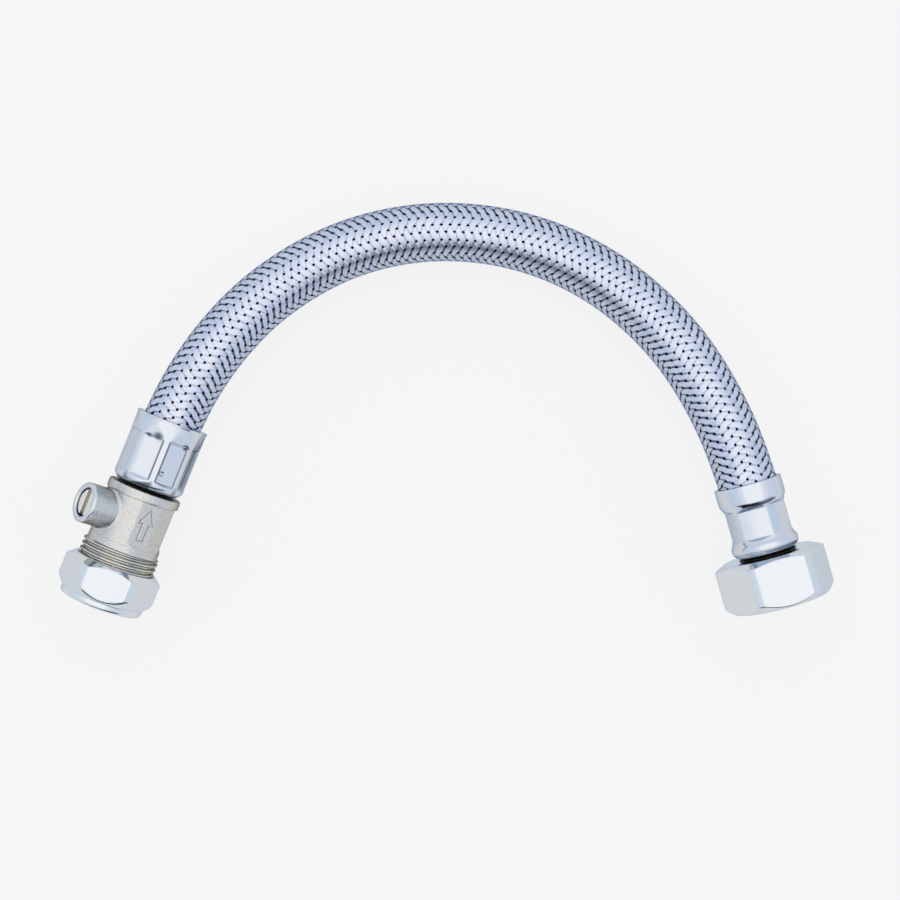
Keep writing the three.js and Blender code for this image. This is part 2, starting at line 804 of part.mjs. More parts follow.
// The origin goes under the middle of the two fittings
const fittings = new THREE.Box3().setFromObject(valveEnd, true).expandByObject(tapEnd, true);
const middle = fittings.getCenter(new THREE.Vector3());
connector.position.set(-middle.x, -middle.y, -fittings.min.z);

export default connector;
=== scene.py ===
import json
import math

import bpy
import numpy as np
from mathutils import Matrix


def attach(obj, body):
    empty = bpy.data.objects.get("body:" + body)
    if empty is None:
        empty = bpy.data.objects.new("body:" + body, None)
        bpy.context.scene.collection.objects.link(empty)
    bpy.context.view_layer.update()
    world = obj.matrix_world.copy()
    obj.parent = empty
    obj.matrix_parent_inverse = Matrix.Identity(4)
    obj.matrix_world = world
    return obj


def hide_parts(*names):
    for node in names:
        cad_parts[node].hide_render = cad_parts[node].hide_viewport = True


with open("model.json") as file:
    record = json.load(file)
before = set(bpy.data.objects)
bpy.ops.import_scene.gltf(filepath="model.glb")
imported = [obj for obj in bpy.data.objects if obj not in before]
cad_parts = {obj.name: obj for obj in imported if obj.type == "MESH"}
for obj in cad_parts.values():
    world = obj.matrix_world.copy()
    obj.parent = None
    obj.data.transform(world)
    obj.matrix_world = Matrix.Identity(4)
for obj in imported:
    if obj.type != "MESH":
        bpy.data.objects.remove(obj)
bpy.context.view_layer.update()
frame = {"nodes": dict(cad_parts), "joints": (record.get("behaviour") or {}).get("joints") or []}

# All sizes below are in millimetres. MM turns them into Blender's metres.
MM = 0.001
UP = np.array([0.0, 0.0, 1.0])

# Camera: straight above, where the photograph was taken. Its place is in metres.
CAMERA_PLACE = (0.0012975, 0.021176, 0.541)
FOCAL_LENGTH = 62
camera_data = bpy.data.cameras.new("camera")
camera_data.lens = FOCAL_LENGTH
camera = bpy.data.objects.new("camera", camera_data)
camera.location = CAMERA_PLACE
bpy.context.scene.collection.objects.link(camera)
bpy.context.scene.camera = camera
bpy.context.scene.view_settings.view_transform = "Standard"


def frame_joint(name):
    return next(joint for joint in frame["joints"] if joint["name"] == name)


class Fitting:
    """A fitting's own frame. Stations run along its axis from the nut's mouth towards the hose.
    Angles turn from straight up to the right of that direction."""

    def __init__(self, joint_name):
        joint = frame_joint(joint_name)
        self.mouth = np.array(joint["pos_m"]) / MM
        self.along = -np.array(joint["axis"])
        self.right = np.cross(self.along, UP)

    def place(self, points):
        """Points in the shared frame, given as (right, along, up) from the fitting's mouth"""
        return self.mouth + points @ np.array([self.right, self.along, UP])

    def on_axis(self, station):
        return self.mouth + station * self.along


valve = Fitting("nut_turn")
tap = Fitting("swivel_turn")


# Stations and radii of the CAD model that the pieces share
NUT_LENGTH = 14.6
LIP_RADIUS = 14.3
LIP_END = 2.5
SOCKET_RADIUS = 11.15
BODY_START = 9.1
THREAD_END = 20.4
NECK_END = 22.8
SOCKET_END = 21.1
WEB_END = 23.9
BALL_STATION = 31.4
FLANGE_START = 38.5
BODY_END = 41.6
FERRULE_START = 42.4
FERRULE_END = 66.4
HOSE_START = 45.1
TAP_FERRULE_START = 17.7
TAP_FERRULE_END = 42.2
TAP_FULL_ROUND_END = 37.0
BODY_RADIUS = 12.2
BORE_RADIUS = 10.3


def rad(degrees):
    return np.radians(degrees)


# The hose. Its route repeats the points in part.mjs.
HOSE_ROUTE = [
    [-84.8, 45.7, 15.4],
    [-75.3, 59.2, 14.1],
    [-64, 71.2, 12.4],
    [-51, 81, 11],
    [-36.6, 88.6, 10.3],
    [-21, 93.5, 10.2],
    [-4.7, 95.7, 10.2],
    [11.8, 95.1, 10.2],
    [28, 91.8, 10.2],
    [43.3, 85.9, 10.2],
    [57.3, 77.6, 10.4],
    [69.7, 67.1, 11.4],
    [80.4, 54.8, 13.1],
    [89.1, 40.9, 14.9],
    [96.2, 25.9, 16.4],
]


def smooth_line(knots, steps=40):
    """A centripetal Catmull-Rom line through the knots"""
    knots = np.array(knots, float)
    ends = [2 * knots[0] - knots[1], 2 * knots[-1] - knots[-2]]
    knots = np.vstack([ends[0], knots, ends[1]])
    line = []
    for a, b, c, d in zip(knots, knots[1:], knots[2:], knots[3:]):
        before, middle, after = (np.sqrt(np.linalg.norm(q - p)) for p, q in ((a, b), (b, c), (c, d)))
        start = ((b - a) / before - (c - a) / (before + middle) + (c - b) / middle) * middle
        end = ((c - b) / middle - (d - b) / (middle + after) + (d - c) / after) * middle
        t = np.linspace(0, 1, steps, endpoint=False)[:, None]
        square = 3 * (c - b) - 2 * start - end
        cube = 2 * (b - c) + start + end
        line.append(b + start * t + square * t**2 + cube * t**3)
    line.append(knots[-2][None])
    return np.vstack(line)


class Route:
    """The hose's middle line, smoothed over a few steps, by the distance from the valve ferrule's rim"""

    STEP = 0.25
    SMOOTHING = 33

    def __init__(self, knots, start):
        line = smooth_line(knots)
        length = np.concatenate([[0], np.cumsum(np.linalg.norm(np.diff(line, axis=0), axis=1))])
        even = np.arange(0, length[-1], self.STEP)
        line = np.stack([np.interp(even, length, line[:, k]) for k in range(3)], axis=1)
        kernel = np.hanning(self.SMOOTHING + 2)[1:-1]
        kernel /= kernel.sum()
        margin = self.SMOOTHING // 2
        inner = np.stack([np.convolve(line[:, k], kernel, "valid") for k in range(3)], axis=1)
        line[margin:-margin] = inner
        tangent = np.gradient(line, axis=0)
        tangent /= np.linalg.norm(tangent, axis=1)[:, None]
        side = np.cross(tangent, UP)
        side /= np.linalg.norm(side, axis=1)[:, None]
        self.station = even - start
        self.line, self.side, self.above = line, side, np.cross(side, tangent)

    def at(self, table, station):
        return np.stack([np.interp(station, self.station, table[:, k]) for k in range(3)], axis=-1)

    def surface(self, station, angle, radius):
        """Points at an angle from straight up towards the inside of the arch"""
        reach = radius[..., None] * (
            np.cos(angle)[..., None] * self.at(self.above, station)
            + np.sin(angle)[..., None] * self.at(self.side, station)
        )
        return self.at(self.line, station) + reach


rim, tap_rim = valve.on_axis(FERRULE_END), tap.on_axis(TAP_FERRULE_END)
route = Route(
    [
        valve.on_axis(HOSE_START),
        valve.on_axis((HOSE_START + FERRULE_END) / 2),
        rim,
        *HOSE_ROUTE,
        tap_rim,
        tap.on_axis((TAP_FERRULE_END + TAP_FULL_ROUND_END) / 2),
        tap.on_axis(TAP_FULL_ROUND_END),
    ],
    FERRULE_END - HOSE_START,
)
FREE_LENGTH = route.station[np.argmin(np.linalg.norm(route.line - tap_rim, axis=1))]
INSIDE = 3.0


def step_up(value, start, end):
    """0 before the start and 1 after the end, with a soft change between"""
    t = np.clip((value - start) / (end - start), 0, 1)
    return t * t * (3 - 2 * t)


def new_object(name, points, faces, material=None, quads=True):
    """A mesh object from points in millimetres and an array of quads, or a list of faces"""
    mesh = bpy.data.meshes.new(name)
    points = np.asarray(points, float).reshape(-1, 3)
    if quads:
        faces = np.asarray(faces, np.int32)
        mesh.vertices.add(len(points))
        mesh.vertices.foreach_set("co", (points * MM).ravel())
        mesh.loops.add(faces.size)
        mesh.loops.foreach_set("vertex_index", faces.ravel())
        mesh.polygons.add(len(faces))
        mesh.polygons.foreach_set("loop_start", np.arange(0, faces.size, 4, dtype=np.int32))
        mesh.update(calc_edges=True)
    else:
        mesh.from_pydata((points * MM).tolist(), [], [list(map(int, f)) for f in faces])
    mesh.validate()
    mesh.shade_smooth()
    if material:
        mesh.materials.append(material)
    made = bpy.data.objects.new(name, mesh)
    bpy.context.scene.collection.objects.link(made)
    return made


def mark(made, name, values):
    """A number at each point of a mesh, for its material to use"""
    attribute = made.data.attributes.new(name, "FLOAT", "POINT")
    attribute.data.foreach_set("value", np.asarray(values, float).ravel())


def grid_quads(rows, columns, wrap_rows=True):
    """Quads between rows of points, each row closed to a ring"""
    index = np.arange(rows * columns).reshape(rows, columns)
    if wrap_rows:
        index = np.vstack([index, index[:1]])
    index = np.hstack([index, index[:, :1]])
    corners = (index[:-1, :-1], index[1:, :-1], index[1:, 1:], index[:-1, 1:])
    return np.stack([c.ravel() for c in corners], axis=1)


def outward(points, quads):
    """The quads, turned round if they enclose a negative volume"""
    a, b, c, d = (points[quads[:, k]] for k in range(4))
    volume = (np.cross(b - a, c - a) * (a + b + c)).sum() + (np.cross(c - a, d - a) * (a + c + d)).sum()
    return quads if volume > 0 else quads[:, ::-1]


def weighted_normals(made, points, quads):
    """Vertex normals weighted by the faces' areas, so that flats stay flat beside fine rounded edges"""
    a, b, c, d = (points[quads[:, k]] for k in range(4))
    area = np.cross(c - a, d - b)
    normals = np.zeros_like(points)
    for k in range(4):
        np.add.at(normals, quads[:, k], area)
    normals /= np.maximum(np.linalg.norm(normals, axis=1), 1e-12)[:, None]
    made.data.normals_split_custom_set_from_vertices(normals.tolist())


def turned(name, outline, angles, fitting, material):
    """A closed form turned about a fitting's axis. Its outline is a pair of (point, angle) arrays."""
    radius, station = outline
    points = np.stack([radius * np.sin(angles), station, radius * np.cos(angles)], axis=-1)
    points = fitting.place(points.reshape(-1, 3))
    quads = outward(points, grid_quads(*radius.shape))
    made = new_object(name, points, quads, material)
    weighted_normals(made, points, quads)
    return made


# A rounding takes less than half of each side of its corner
ROUNDING_LIMIT = 0.48
ROUNDING_STEPS = 4


def rounded(corners, angles):
    """A closed outline from corners (radius, station, rounding), which may vary with the angle"""
    count = len(angles)
    places = np.array([[np.broadcast_to(r, count), np.broadcast_to(s, count)] for r, s, _ in corners])
    rows = []
    for k, (_, _, size) in enumerate(corners):
        here = places[k]
        if size == 0:
            rows.append(here)
            continue
        before, after = places[k - 1] - here, places[(k + 1) % len(corners)] - here
        first = here + before * np.minimum(size / np.linalg.norm(before, axis=0), ROUNDING_LIMIT)
        last = here + after * np.minimum(size / np.linalg.norm(after, axis=0), ROUNDING_LIMIT)
        for t in np.linspace(0, 1, ROUNDING_STEPS + 1):
            rows.append((1 - t) ** 2 * first + 2 * t * (1 - t) * here + t**2 * last)
    rows = np.array(rows)
    return rows[:, 0], rows[:, 1]


def plain_corners(radius, station):
    """Rows of an outline as corners without rounding"""
    return [(r, s, 0) for r, s in zip(radius, station)]


CLOSEST_ANGLES = 0.12


def angles_about(edges=(), count=96, spread=(0.25, 0.7, 1.5)):
    """Angles all round, closer together beside some edges, in degrees"""
    base = np.arange(count) * 360 / count
    extra = [e + side * d for e in edges for d in (0, *spread) for side in (-1, 1)]
    merged = np.unique(np.round(np.concatenate([base, extra]) % 360, 3))
    keep = np.concatenate([[True], np.diff(merged) > CLOSEST_ANGLES])
    return rad(merged[keep])


def soft_least(distances, power):
    """The least of several positive lengths, with a change between them that is softer for a low power"""
    scale = min(np.min(d) for d in distances)
    total = sum((scale / np.maximum(d, scale)) ** power for d in distances)
    return scale / total ** (1 / power)


# A flat that a ray meets at a lower cosine than this counts as out of reach
GRAZING = 0.2
OUT_OF_REACH = 1e3


def plane_reach(angles, distance, turn):
    """How far a ray at each angle goes before it meets a flat at a distance from the axis"""
    facing = np.cos(angles - rad(turn))
    return np.where(facing > GRAZING, distance / np.maximum(facing, GRAZING), OUT_OF_REACH)


def crowned_reach(angles, distance, turn, flatness):
    """As plane_reach, for a face that bulges a little"""
    return distance * (1 + flatness * (plane_reach(angles, 1.0, turn) - 1))


def hexagon_reach(angles, across_flats, across_facets, roll):
    reach = []
    for k in range(6):
        reach.append(plane_reach(angles, across_flats / 2, 60 * k + roll))
        reach.append(plane_reach(angles, across_facets / 2, 60 * k + 30 + roll))
    return soft_least(reach, 130)


def hexagon_edges(across_flats, across_facets, roll):
    ratio = across_facets / across_flats
    half = math.degrees(math.atan2(ratio - math.cos(rad(30)), math.sin(rad(30))))
    return [60 * k + roll + side * half for k in range(6) for side in (-1, 1)]


# Threads: 3/4 inch, 14 turns to the inch
PITCH = 1.814
CREST = 13.2
ROOT = 12.15
THREAD_PLAY = 0.14
ROW = 0.1

# Where a thread's flank starts and ends, from 0 in the middle of its root to 1 in the middle of its crest
FLANK = (0.12, 0.8)


def thread_height(angles, station):
    """From 0 at the root to 1 at the crest of a right-handed thread"""
    phase = np.abs((station / PITCH - angles / (2 * math.pi)) % 1 - 0.5) * 2
    return step_up(phase, *FLANK)


def thread_rows(angles, start, end, root, crest):
    stations = np.linspace(start, end, max(2, int(round(abs(end - start) / ROW))))
    rows = [root + (crest - root) * thread_height(angles, s) for s in stations]
    return rows, stations


# Finishes. A mix node's colour sockets go by number, because others share their names.
COLOUR_A = 6
COLOUR_B = 7
COLOUR_RESULT = 2


def add_node(tree, kind, inputs, **settings):
    """A new shader node. Each input is a plain value, a colour or another node's output."""
    node = tree.nodes.new(kind)
    for key, value in settings.items():
        setattr(node, key, value)
    for name, value in inputs.items():
        socket = node.inputs[name]
        if isinstance(value, bpy.types.NodeSocket):
            tree.links.new(value, socket)
        else:
            socket.default_value = (*value, 1) if socket.type == "RGBA" else value
    return node


def colour_mix(tree, factor, first, second):
    inputs = {"Factor": factor, COLOUR_A: first, COLOUR_B: second}
    return add_node(tree, "ShaderNodeMix", inputs, data_type="RGBA").outputs[COLOUR_RESULT]


class Finish:
    """A material whose colour, roughness and surface vary over it. A scale is a noise's, in cells a metre.
    The grain is a list of (scale, depth in millimetres)."""

    def __init__(self, name, colour, shade, roughness, grain, metallic=1, tint=(1, 1, 1), mottle=0.5,
                 shade_scale=300, rough_scale=900, rough_span=0.06):
        self.material = bpy.data.materials.new(name)
        self.material.use_nodes = True
        self.tree = self.material.node_tree
        self.base = self.tree.nodes["Principled BSDF"]
        self.base.inputs["Metallic"].default_value = metallic
        self.base.inputs["Specular Tint"].default_value = (*tint, 1)
        self.coordinates = add_node(self.tree, "ShaderNodeTexCoord", {}).outputs["Object"]
        patches = self.span(self.noise(shade_scale, 3), 0, 1, 0.5 - mottle, 0.5 + mottle)
        self.colour = colour_mix(self.tree, patches, colour, shade)
        low, high = roughness - rough_span, roughness + rough_span
        self.roughness = self.span(self.noise(rough_scale, 2), low, high)
        bump = None
        for scale, depth in grain:
            bump = self.bump(self.noise(scale, 2), depth, bump)
        self.tree.links.new(bump, self.base.inputs["Normal"])
        self.connect()

    def connect(self):
        self.tree.links.new(self.colour, self.base.inputs["Base Color"])
        self.tree.links.new(self.roughness, self.base.inputs["Roughness"])

    def noise(self, scale, detail):
        inputs = {"Vector": self.coordinates, "Scale": scale, "Detail": detail}
        return add_node(self.tree, "ShaderNodeTexNoise", inputs).outputs["Fac"]

    def span(self, value, low, high, start=0.3, end=0.7):
        inputs = {"Value": value, "From Min": start, "From Max": end, "To Min": low, "To Max": high}
        return add_node(self.tree, "ShaderNodeMapRange", inputs).outputs["Result"]

    def bump(self, height, depth, under):
        inputs = {"Height": height, "Strength": 1, "Distance": depth * MM}
        if under:
            inputs["Normal"] = under
        return add_node(self.tree, "ShaderNodeBump", inputs).outputs["Normal"]

    def marked(self, name):
        """The number that a mesh carries at each of its points"""
        return add_node(self.tree, "ShaderNodeAttribute", {}, attribute_name=name).outputs["Fac"]

    def beyond(self, point, direction, soft=0.15):
        """A mask that is 1 beyond a point in a direction, both in the shared frame"""
        inputs = {0: self.coordinates, 1: tuple(direction)}
        reach = add_node(self.tree, "ShaderNodeVectorMath", inputs, operation="DOT_PRODUCT").outputs["Value"]
        level = float(np.dot(point, direction)) * MM
        return self.span(reach, 0, 1, level - soft * MM, level + soft * MM)

    def area(self, mask, colour, roughness):
        """Another colour and roughness where a mask is 1"""
        self.colour = colour_mix(self.tree, mask, self.colour, colour)
        inputs = {"Factor": mask, "A": self.roughness, "B": roughness}
        self.roughness = add_node(self.tree, "ShaderNodeMix", inputs, data_type="FLOAT").outputs["Result"]
        self.connect()


chrome = Finish(
    "chrome", (0.69, 0.72, 0.74), (0.65, 0.69, 0.725), 0.08, [(900, 0.006), (260, 0.012)],
    tint=(0.7, 0.77, 0.86), shade_scale=90, rough_scale=700, rough_span=0.03,
)
nickel = Finish(
    "nickel", (0.71, 0.71, 0.69), (0.46, 0.455, 0.435), 0.3, [(2800, 0.05), (1100, 0.03)],
    tint=(0.25, 0.25, 0.25), mottle=0.22, shade_scale=2700, rough_scale=1500, rough_span=0.1,
)
spindle_metal = Finish(
    "spindle_nickel", (0.74, 0.75, 0.76), (0.66, 0.64, 0.58), 0.16, [(2600, 0.008)], shade_scale=420,
)
steel = Finish(
    "ferrule_steel", (0.67, 0.695, 0.735), (0.59, 0.635, 0.70), 0.12, [(1500, 0.005), (300, 0.012)],
    shade_scale=140, rough_scale=600, rough_span=0.04,
)
wire = Finish(
    "braid_wire", (0.71, 0.73, 0.81), (0.57, 0.63, 0.77), 0.36, [(5000, 0.01)],
    tint=(0.62, 0.76, 1.0), mottle=0.25, shade_scale=260, rough_scale=1500,
)
brass = Finish("brass", (0.72, 0.55, 0.30), (0.62, 0.46, 0.24), 0.28, [(2600, 0.01)])
# Painted shade: the tails' brass is almost black, for the narrow gaps where it shows in shadow
painted_shade_brass = Finish(
    "tail_brass", (0.035, 0.026, 0.014), (0.006, 0.005, 0.005), 0.45, [(2600, 0.01)],
    mottle=0.2, shade_scale=160,
)
rubber = Finish(
    "hose_rubber", (0.006, 0.007, 0.012), (0.010, 0.010, 0.016), 0.8, [(2000, 0.02)],
    metallic=0, shade_scale=400, rough_span=0.1,
)
seal = Finish(
    "seal_rubber", (0.02, 0.02, 0.022), (0.035, 0.035, 0.035), 0.6, [(2500, 0.02)],
    metallic=0, shade_scale=400, rough_span=0.1,
)
fibre = Finish(
    "washer_fibre", (0.06, 0.062, 0.065), (0.1, 0.1, 0.1), 0.75, [(2200, 0.05)],
    metallic=0, shade_scale=900, rough_scale=1200, rough_span=0.1,
)
plastic = Finish(
    "seat_plastic", (0.82, 0.8, 0.74), (0.74, 0.72, 0.66), 0.42, [(1800, 0.01)],
    metallic=0, shade_scale=500, rough_span=0.08,
)
ball_chrome = Finish(
    "ball_chrome", (0.72, 0.73, 0.75), (0.66, 0.68, 0.71), 0.1, [(1200, 0.004)],
    shade_scale=200, rough_scale=700, rough_span=0.03,
)
rubber.base.inputs["Specular IOR Level"].default_value = 0.2

# Painted shade and dark reflections on the ferrules, in their colour and reflection tint: beside their ribs,
# in their dents and above their feet
STEEL_TINT = (0.52, 0.58, 0.72)
painted_shade = steel.marked("painted_shade")
steel.area(painted_shade, (0.05, 0.06, 0.10), 0.3)
painted_shade_tint = colour_mix(steel.tree, painted_shade, STEEL_TINT, (0.03, 0.04, 0.06))
steel.tree.links.new(painted_shade_tint, steel.base.inputs["Specular Tint"])

# Painted shade: wires that lie deeper in the braid are darker, least so on top of the hose
wire.colour = colour_mix(wire.tree, wire.marked("depth"), wire.colour, (0.07, 0.09, 0.17))
wire.connect()

# The braid: twelve bands each way, each of seven wires, two over and two under
BANDS = 12
WIRES = 7
WIRE_RADIUS = 0.108
BRAID_ANGLE = rad(60)
BAND_CENTRE = 9.73
BAND_RISE = 0.125
FOLD_SHARPNESS = 5
MEAN_RADIUS = 9.8
TOP_RADIUS = BAND_CENTRE + BAND_RISE + WIRE_RADIUS

# Degrees round the hose from band to band, and to the first one
BAND_STEP = 360 / BANDS
FIRST_BAND = BAND_STEP / 4

# How a band turns with the station, and where it passes over or under the others
TURN = math.tan(BRAID_ANGLE) / MEAN_RADIUS
BAND_PITCH = 2 * math.pi * MEAN_RADIUS / BANDS * math.cos(BRAID_ANGLE)
FOLD_STEP = rad(BAND_STEP) / TURN
FOLD_ROWS = np.array([-0.34, -0.17, 0, 0.17, 0.34, 1.1, 1.86])

# How much a band widens between its crossings, towards the next band: on top, and at the open side
CLOSED_TOP = 0.73
CLOSED_SIDE = 0.36


def band_radius(angle, way):
    return BAND_CENTRE + way * BAND_RISE * np.tanh(FOLD_SHARPNESS * np.sin(BANDS / 2 * angle))


def band_stations(way):
    """Stations of a band's rows, close together where it passes over or under the next band"""
    start, end = -INSIDE, FREE_LENGTH + INSIDE
    folds = -way * rad(FIRST_BAND) / TURN + FOLD_STEP * np.arange(-3, math.ceil(end / FOLD_STEP) + 2)
    stations = (folds[:, None] + FOLD_ROWS).ravel()
    return stations[(stations > start) & (stations < end)]


def band_section():
    """(across, out) points of a band of wires lying side by side"""
    wires = [(k - (WIRES - 1) / 2) * 2 * WIRE_RADIUS for k in range(WIRES)]
    edge, groove, inset, under = np.array([0.45, 0.35, 0.6, -0.8]) * WIRE_RADIUS
    points = [(wires[0] - WIRE_RADIUS, edge)]
    for across in wires[:-1]:
        points += [(across, WIRE_RADIUS), (across + WIRE_RADIUS, groove)]
    points += [(wires[-1], WIRE_RADIUS), (wires[-1] + WIRE_RADIUS, edge)]
    points += [(wires[-1] + inset, under), (wires[0] - inset, under)]
    return np.array(points)


def seam_opening(lean):
    """0 on top of the hose, where the seams are narrow, and 1 at the side where they are widest"""
    return step_up(-lean, 0.28, 0.8) + 0.45 * step_up(lean, 0.28, 0.8)


def sunk_shade(lean):
    """How dark the painted shade on the sunk wires is, least on top of the hose"""
    return 0.12 + 0.8 * step_up(lean, 0.2, 0.7) + 0.7 * step_up(-lean, 0.6, 0.9)


def braid_bands(name, way, numbers):
    """Some bands of one direction as closed ribbons in one object"""
    section = band_section()
    across, out = section[:, 0], section[:, 1]
    stations = band_stations(way)[:, None] + way * across / (2 * math.tan(BRAID_ANGLE))
    sheet = grid_quads(len(stations), len(section), wrap_rows=False)
    points, faces, braid_painted_shades = [], [], []
    for number in numbers:
        middle = rad(FIRST_BAND + BAND_STEP * number) + way * TURN * stations
        edge = middle + across * math.cos(BRAID_ANGLE) / MEAN_RADIUS
        lean = way * np.sin(edge)
        closing = CLOSED_TOP - (CLOSED_TOP - CLOSED_SIDE) * seam_opening(lean)
        spread = across * (1 + closing * step_up(np.cos(2 * BANDS * edge), -1, 1))
        station = stations - way * spread * math.sin(BRAID_ANGLE)
        angle = middle + spread * math.cos(BRAID_ANGLE) / MEAN_RADIUS
        radius = band_radius(angle - rad(BAND_STEP / 2) * spread / BAND_PITCH, way) + out
        ribbon = route.surface(station, angle, radius).reshape(-1, 3)
        faces.append(outward(ribbon, sheet) + len(points) * len(ribbon))
        points.append(ribbon)
        # Painted shade where a band sinks under the others
        sunk = np.clip((TOP_RADIUS - radius) / (2 * BAND_RISE), 0, 1)
        braid_painted_shades.append((sunk * sunk_shade(lean)).ravel())
    made = new_object(name, np.vstack(points), np.vstack(faces), wire.material)
    mark(made, "depth", np.concatenate(braid_painted_shades))
    return made


HALF = BANDS // 2
braid = [
    braid_bands(f"braid_{side}_{part + 1}", way, range(part * HALF, (part + 1) * HALF))
    for side, way in (("right", 1), ("left", -1))
    for part in range(2)
]
for piece in braid:
    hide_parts("hose_braid")
    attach(piece, "connector")


# Stage: a plain pale floor in a white tent. Seen or reflected, the floor mostly glows, with faint shadows.
FLOOR_COLOUR = (0.9, 0.9, 0.9)
FLOOR_GLOW = (0.925, 0.925, 0.925)
SHADOW_SHARE = 0.1
FLOOR_RADIUS = 3
FLOOR_HEIGHT = -0.0002


def stage_material():
    made = bpy.data.materials.new("floor")
    made.use_nodes = True
    tree = made.node_tree
    tree.nodes.clear()
    lit = add_node(tree, "ShaderNodeBsdfDiffuse", {"Color": FLOOR_COLOUR}).outputs[0]
    glow = add_node(tree, "ShaderNodeEmission", {"Color": FLOOR_GLOW, "Strength": 1}).outputs[0]
    shown = add_node(tree, "ShaderNodeMixShader", {"Fac": SHADOW_SHARE, 1: glow, 2: lit}).outputs[0]
    path = add_node(tree, "ShaderNodeLightPath", {})
    seen = path.outputs["Is Camera Ray"]
    for name in ("Is Glossy Ray", "Is Transmission Ray"):
        inputs = {0: seen, 1: path.outputs[name]}
        seen = add_node(tree, "ShaderNodeMath", inputs, operation="MAXIMUM").outputs[0]
    chosen = add_node(tree, "ShaderNodeMixShader", {"Fac": seen, 1: lit, 2: shown}).outputs[0]
    add_node(tree, "ShaderNodeOutputMaterial", {"Surface": chosen})
    return made


bpy.ops.mesh.primitive_circle_add(
    vertices=96, radius=FLOOR_RADIUS, fill_type="NGON", location=(0, 0, FLOOR_HEIGHT)
)
floor = bpy.context.object
floor.name = "floor"
floor.data.materials.append(stage_material())

world = bpy.data.worlds.new("studio")
bpy.context.scene.world = world
world.use_nodes = True
tree = world.node_tree
tree.nodes.clear()

TENT_STRENGTH = 1.42

# The tent's colours by the height of the direction, from the horizon at 0 to straight up at 1
TENT_COLOURS = [
    (0.0, (0.53, 0.605, 0.71)),
    (0.25, (0.57, 0.63, 0.72)),
    (0.55, (0.60, 0.645, 0.72)),
    (0.78, (0.72, 0.74, 0.78)),
    (0.91, (0.90, 0.89, 0.89)),
]

direction = add_node(tree, "ShaderNodeTexCoord", {}).outputs["Generated"]
height = add_node(tree, "ShaderNodeSeparateXYZ", {0: direction}).outputs["Z"]
ramp = add_node(tree, "ShaderNodeValToRGB", {0: height})
ramp.color_ramp.interpolation = "EASE"
while len(ramp.color_ramp.elements) < len(TENT_COLOURS):
    ramp.color_ramp.elements.new(0.5)
for element, (place, colour) in zip(ramp.color_ramp.elements, TENT_COLOURS):
    element.position = place
    element.color = (*colour, 1)


def smooth_mask(value, start, end):
    """0 before the start and 1 after the end"""
    inputs = {"Value": value, "From Min": start, "From Max": end}
    return add_node(tree, "ShaderNodeMapRange", inputs, interpolation_type="SMOOTHSTEP").outputs["Result"]


def dark_band(tent, azimuth, lean, heights, soft, colour):
    """A dark strip of the tent between two heights, where the direction leans enough towards an azimuth"""
    towards = (math.cos(rad(azimuth)), math.sin(rad(azimuth)), 0)
    leaning = add_node(tree, "ShaderNodeVectorMath", {0: direction, 1: towards}, operation="DOT_PRODUCT")
    mask = smooth_mask(leaning.outputs["Value"], *lean)
    low, high = heights
    for start, end in ((low - soft, low), (high + soft, high)):
        inputs = {0: mask, 1: smooth_mask(height, start, end)}
        mask = add_node(tree, "ShaderNodeMath", inputs, operation="MULTIPLY").outputs[0]
    return colour_mix(tree, mask, tent, colour)


tent = dark_band(
    ramp.outputs["Color"],
    azimuth=-92,
    lean=(0.60, 0.75),
    heights=(0.24, 0.62),
    soft=0.06,
    colour=(0.01, 0.01, 0.02),
)
light = add_node(tree, "ShaderNodeBackground", {"Color": tent, "Strength": TENT_STRENGTH}).outputs[0]
add_node(tree, "ShaderNodeOutputWorld", {"Surface": light})

# Compression nut
NUT_FLATS = 30
NUT_FACETS = 33.3
NUT_ROLL = 8.8
NUT_BACK_RADIUS = 14.1
NUT_MOUTH_RADIUS = 13.6
NUT_THREAD_END = 5.4
NUT_RELIEF_END = 4.85
nut_angles = angles_about(hexagon_edges(NUT_FLATS, NUT_FACETS, NUT_ROLL), 180)


def compression_nut():
    reach = hexagon_reach(nut_angles, NUT_FLATS, NUT_FACETS, NUT_ROLL)
    root, crest = ROOT + THREAD_PLAY, CREST + THREAD_PLAY
    threads, stations = thread_rows(nut_angles, NUT_LENGTH - 1.1, NUT_THREAD_END, root, crest)
    corners = [
        (SOCKET_RADIUS + 0.1, 0, 0.4),
        (LIP_RADIUS, 0, 1.4),
        (LIP_RADIUS, LIP_END, 0.25),
        (reach, LIP_END + reach - LIP_RADIUS, 1.4),
        (reach, NUT_LENGTH - 0.85 * (reach - NUT_BACK_RADIUS), 0.35),
        (NUT_BACK_RADIUS, NUT_LENGTH, 0.3),
        (NUT_MOUTH_RADIUS, NUT_LENGTH, 0.25),
        *plain_corners(threads, stations),
        (CREST + 0.3, NUT_THREAD_END - 0.2, 0.1),
        (CREST + 0.3, NUT_RELIEF_END, 0.1),
        (SOCKET_RADIUS + 0.1, LIP_END, 0.3),
    ]
    return turned("compression_nut_body", rounded(corners, nut_angles), nut_angles, valve, chrome.material)


# Valve body, with seven flats beside its boss
BOSS_TURN = -48.4
PAD_STEP = 33.6
PAD_DISTANCE = 11.7
PADS = [BOSS_TURN + 180 + (k - 3) * PAD_STEP for k in range(7)]
NECK_RADIUS = 12.3
BOSS_RADIUS = 6.8
BOSS_REACH = 20.3
BOSS_EDGE = 0.7
FILLET = 1.0
STEM_BORE = 4.85
STEM_RADIUS = 4.55
WEB_BORE = 6.0
CHAMBER_BORE = 8.8
TAIL_BORE = 9.9
TAIL_SEAT = 38.6
body_angles = angles_about(count=240)

# The flange's outline: (radius, distance from its start)
FLANGE = [
    (12.2, 0.0), (12.32, 0.03), (12.47, 0.12), (12.55, 0.35), (12.57, 0.7), (12.57, 2.4),
    (12.53, 2.75), (12.4, 2.97), (12.1, 3.1), (10.6, 3.1),
]

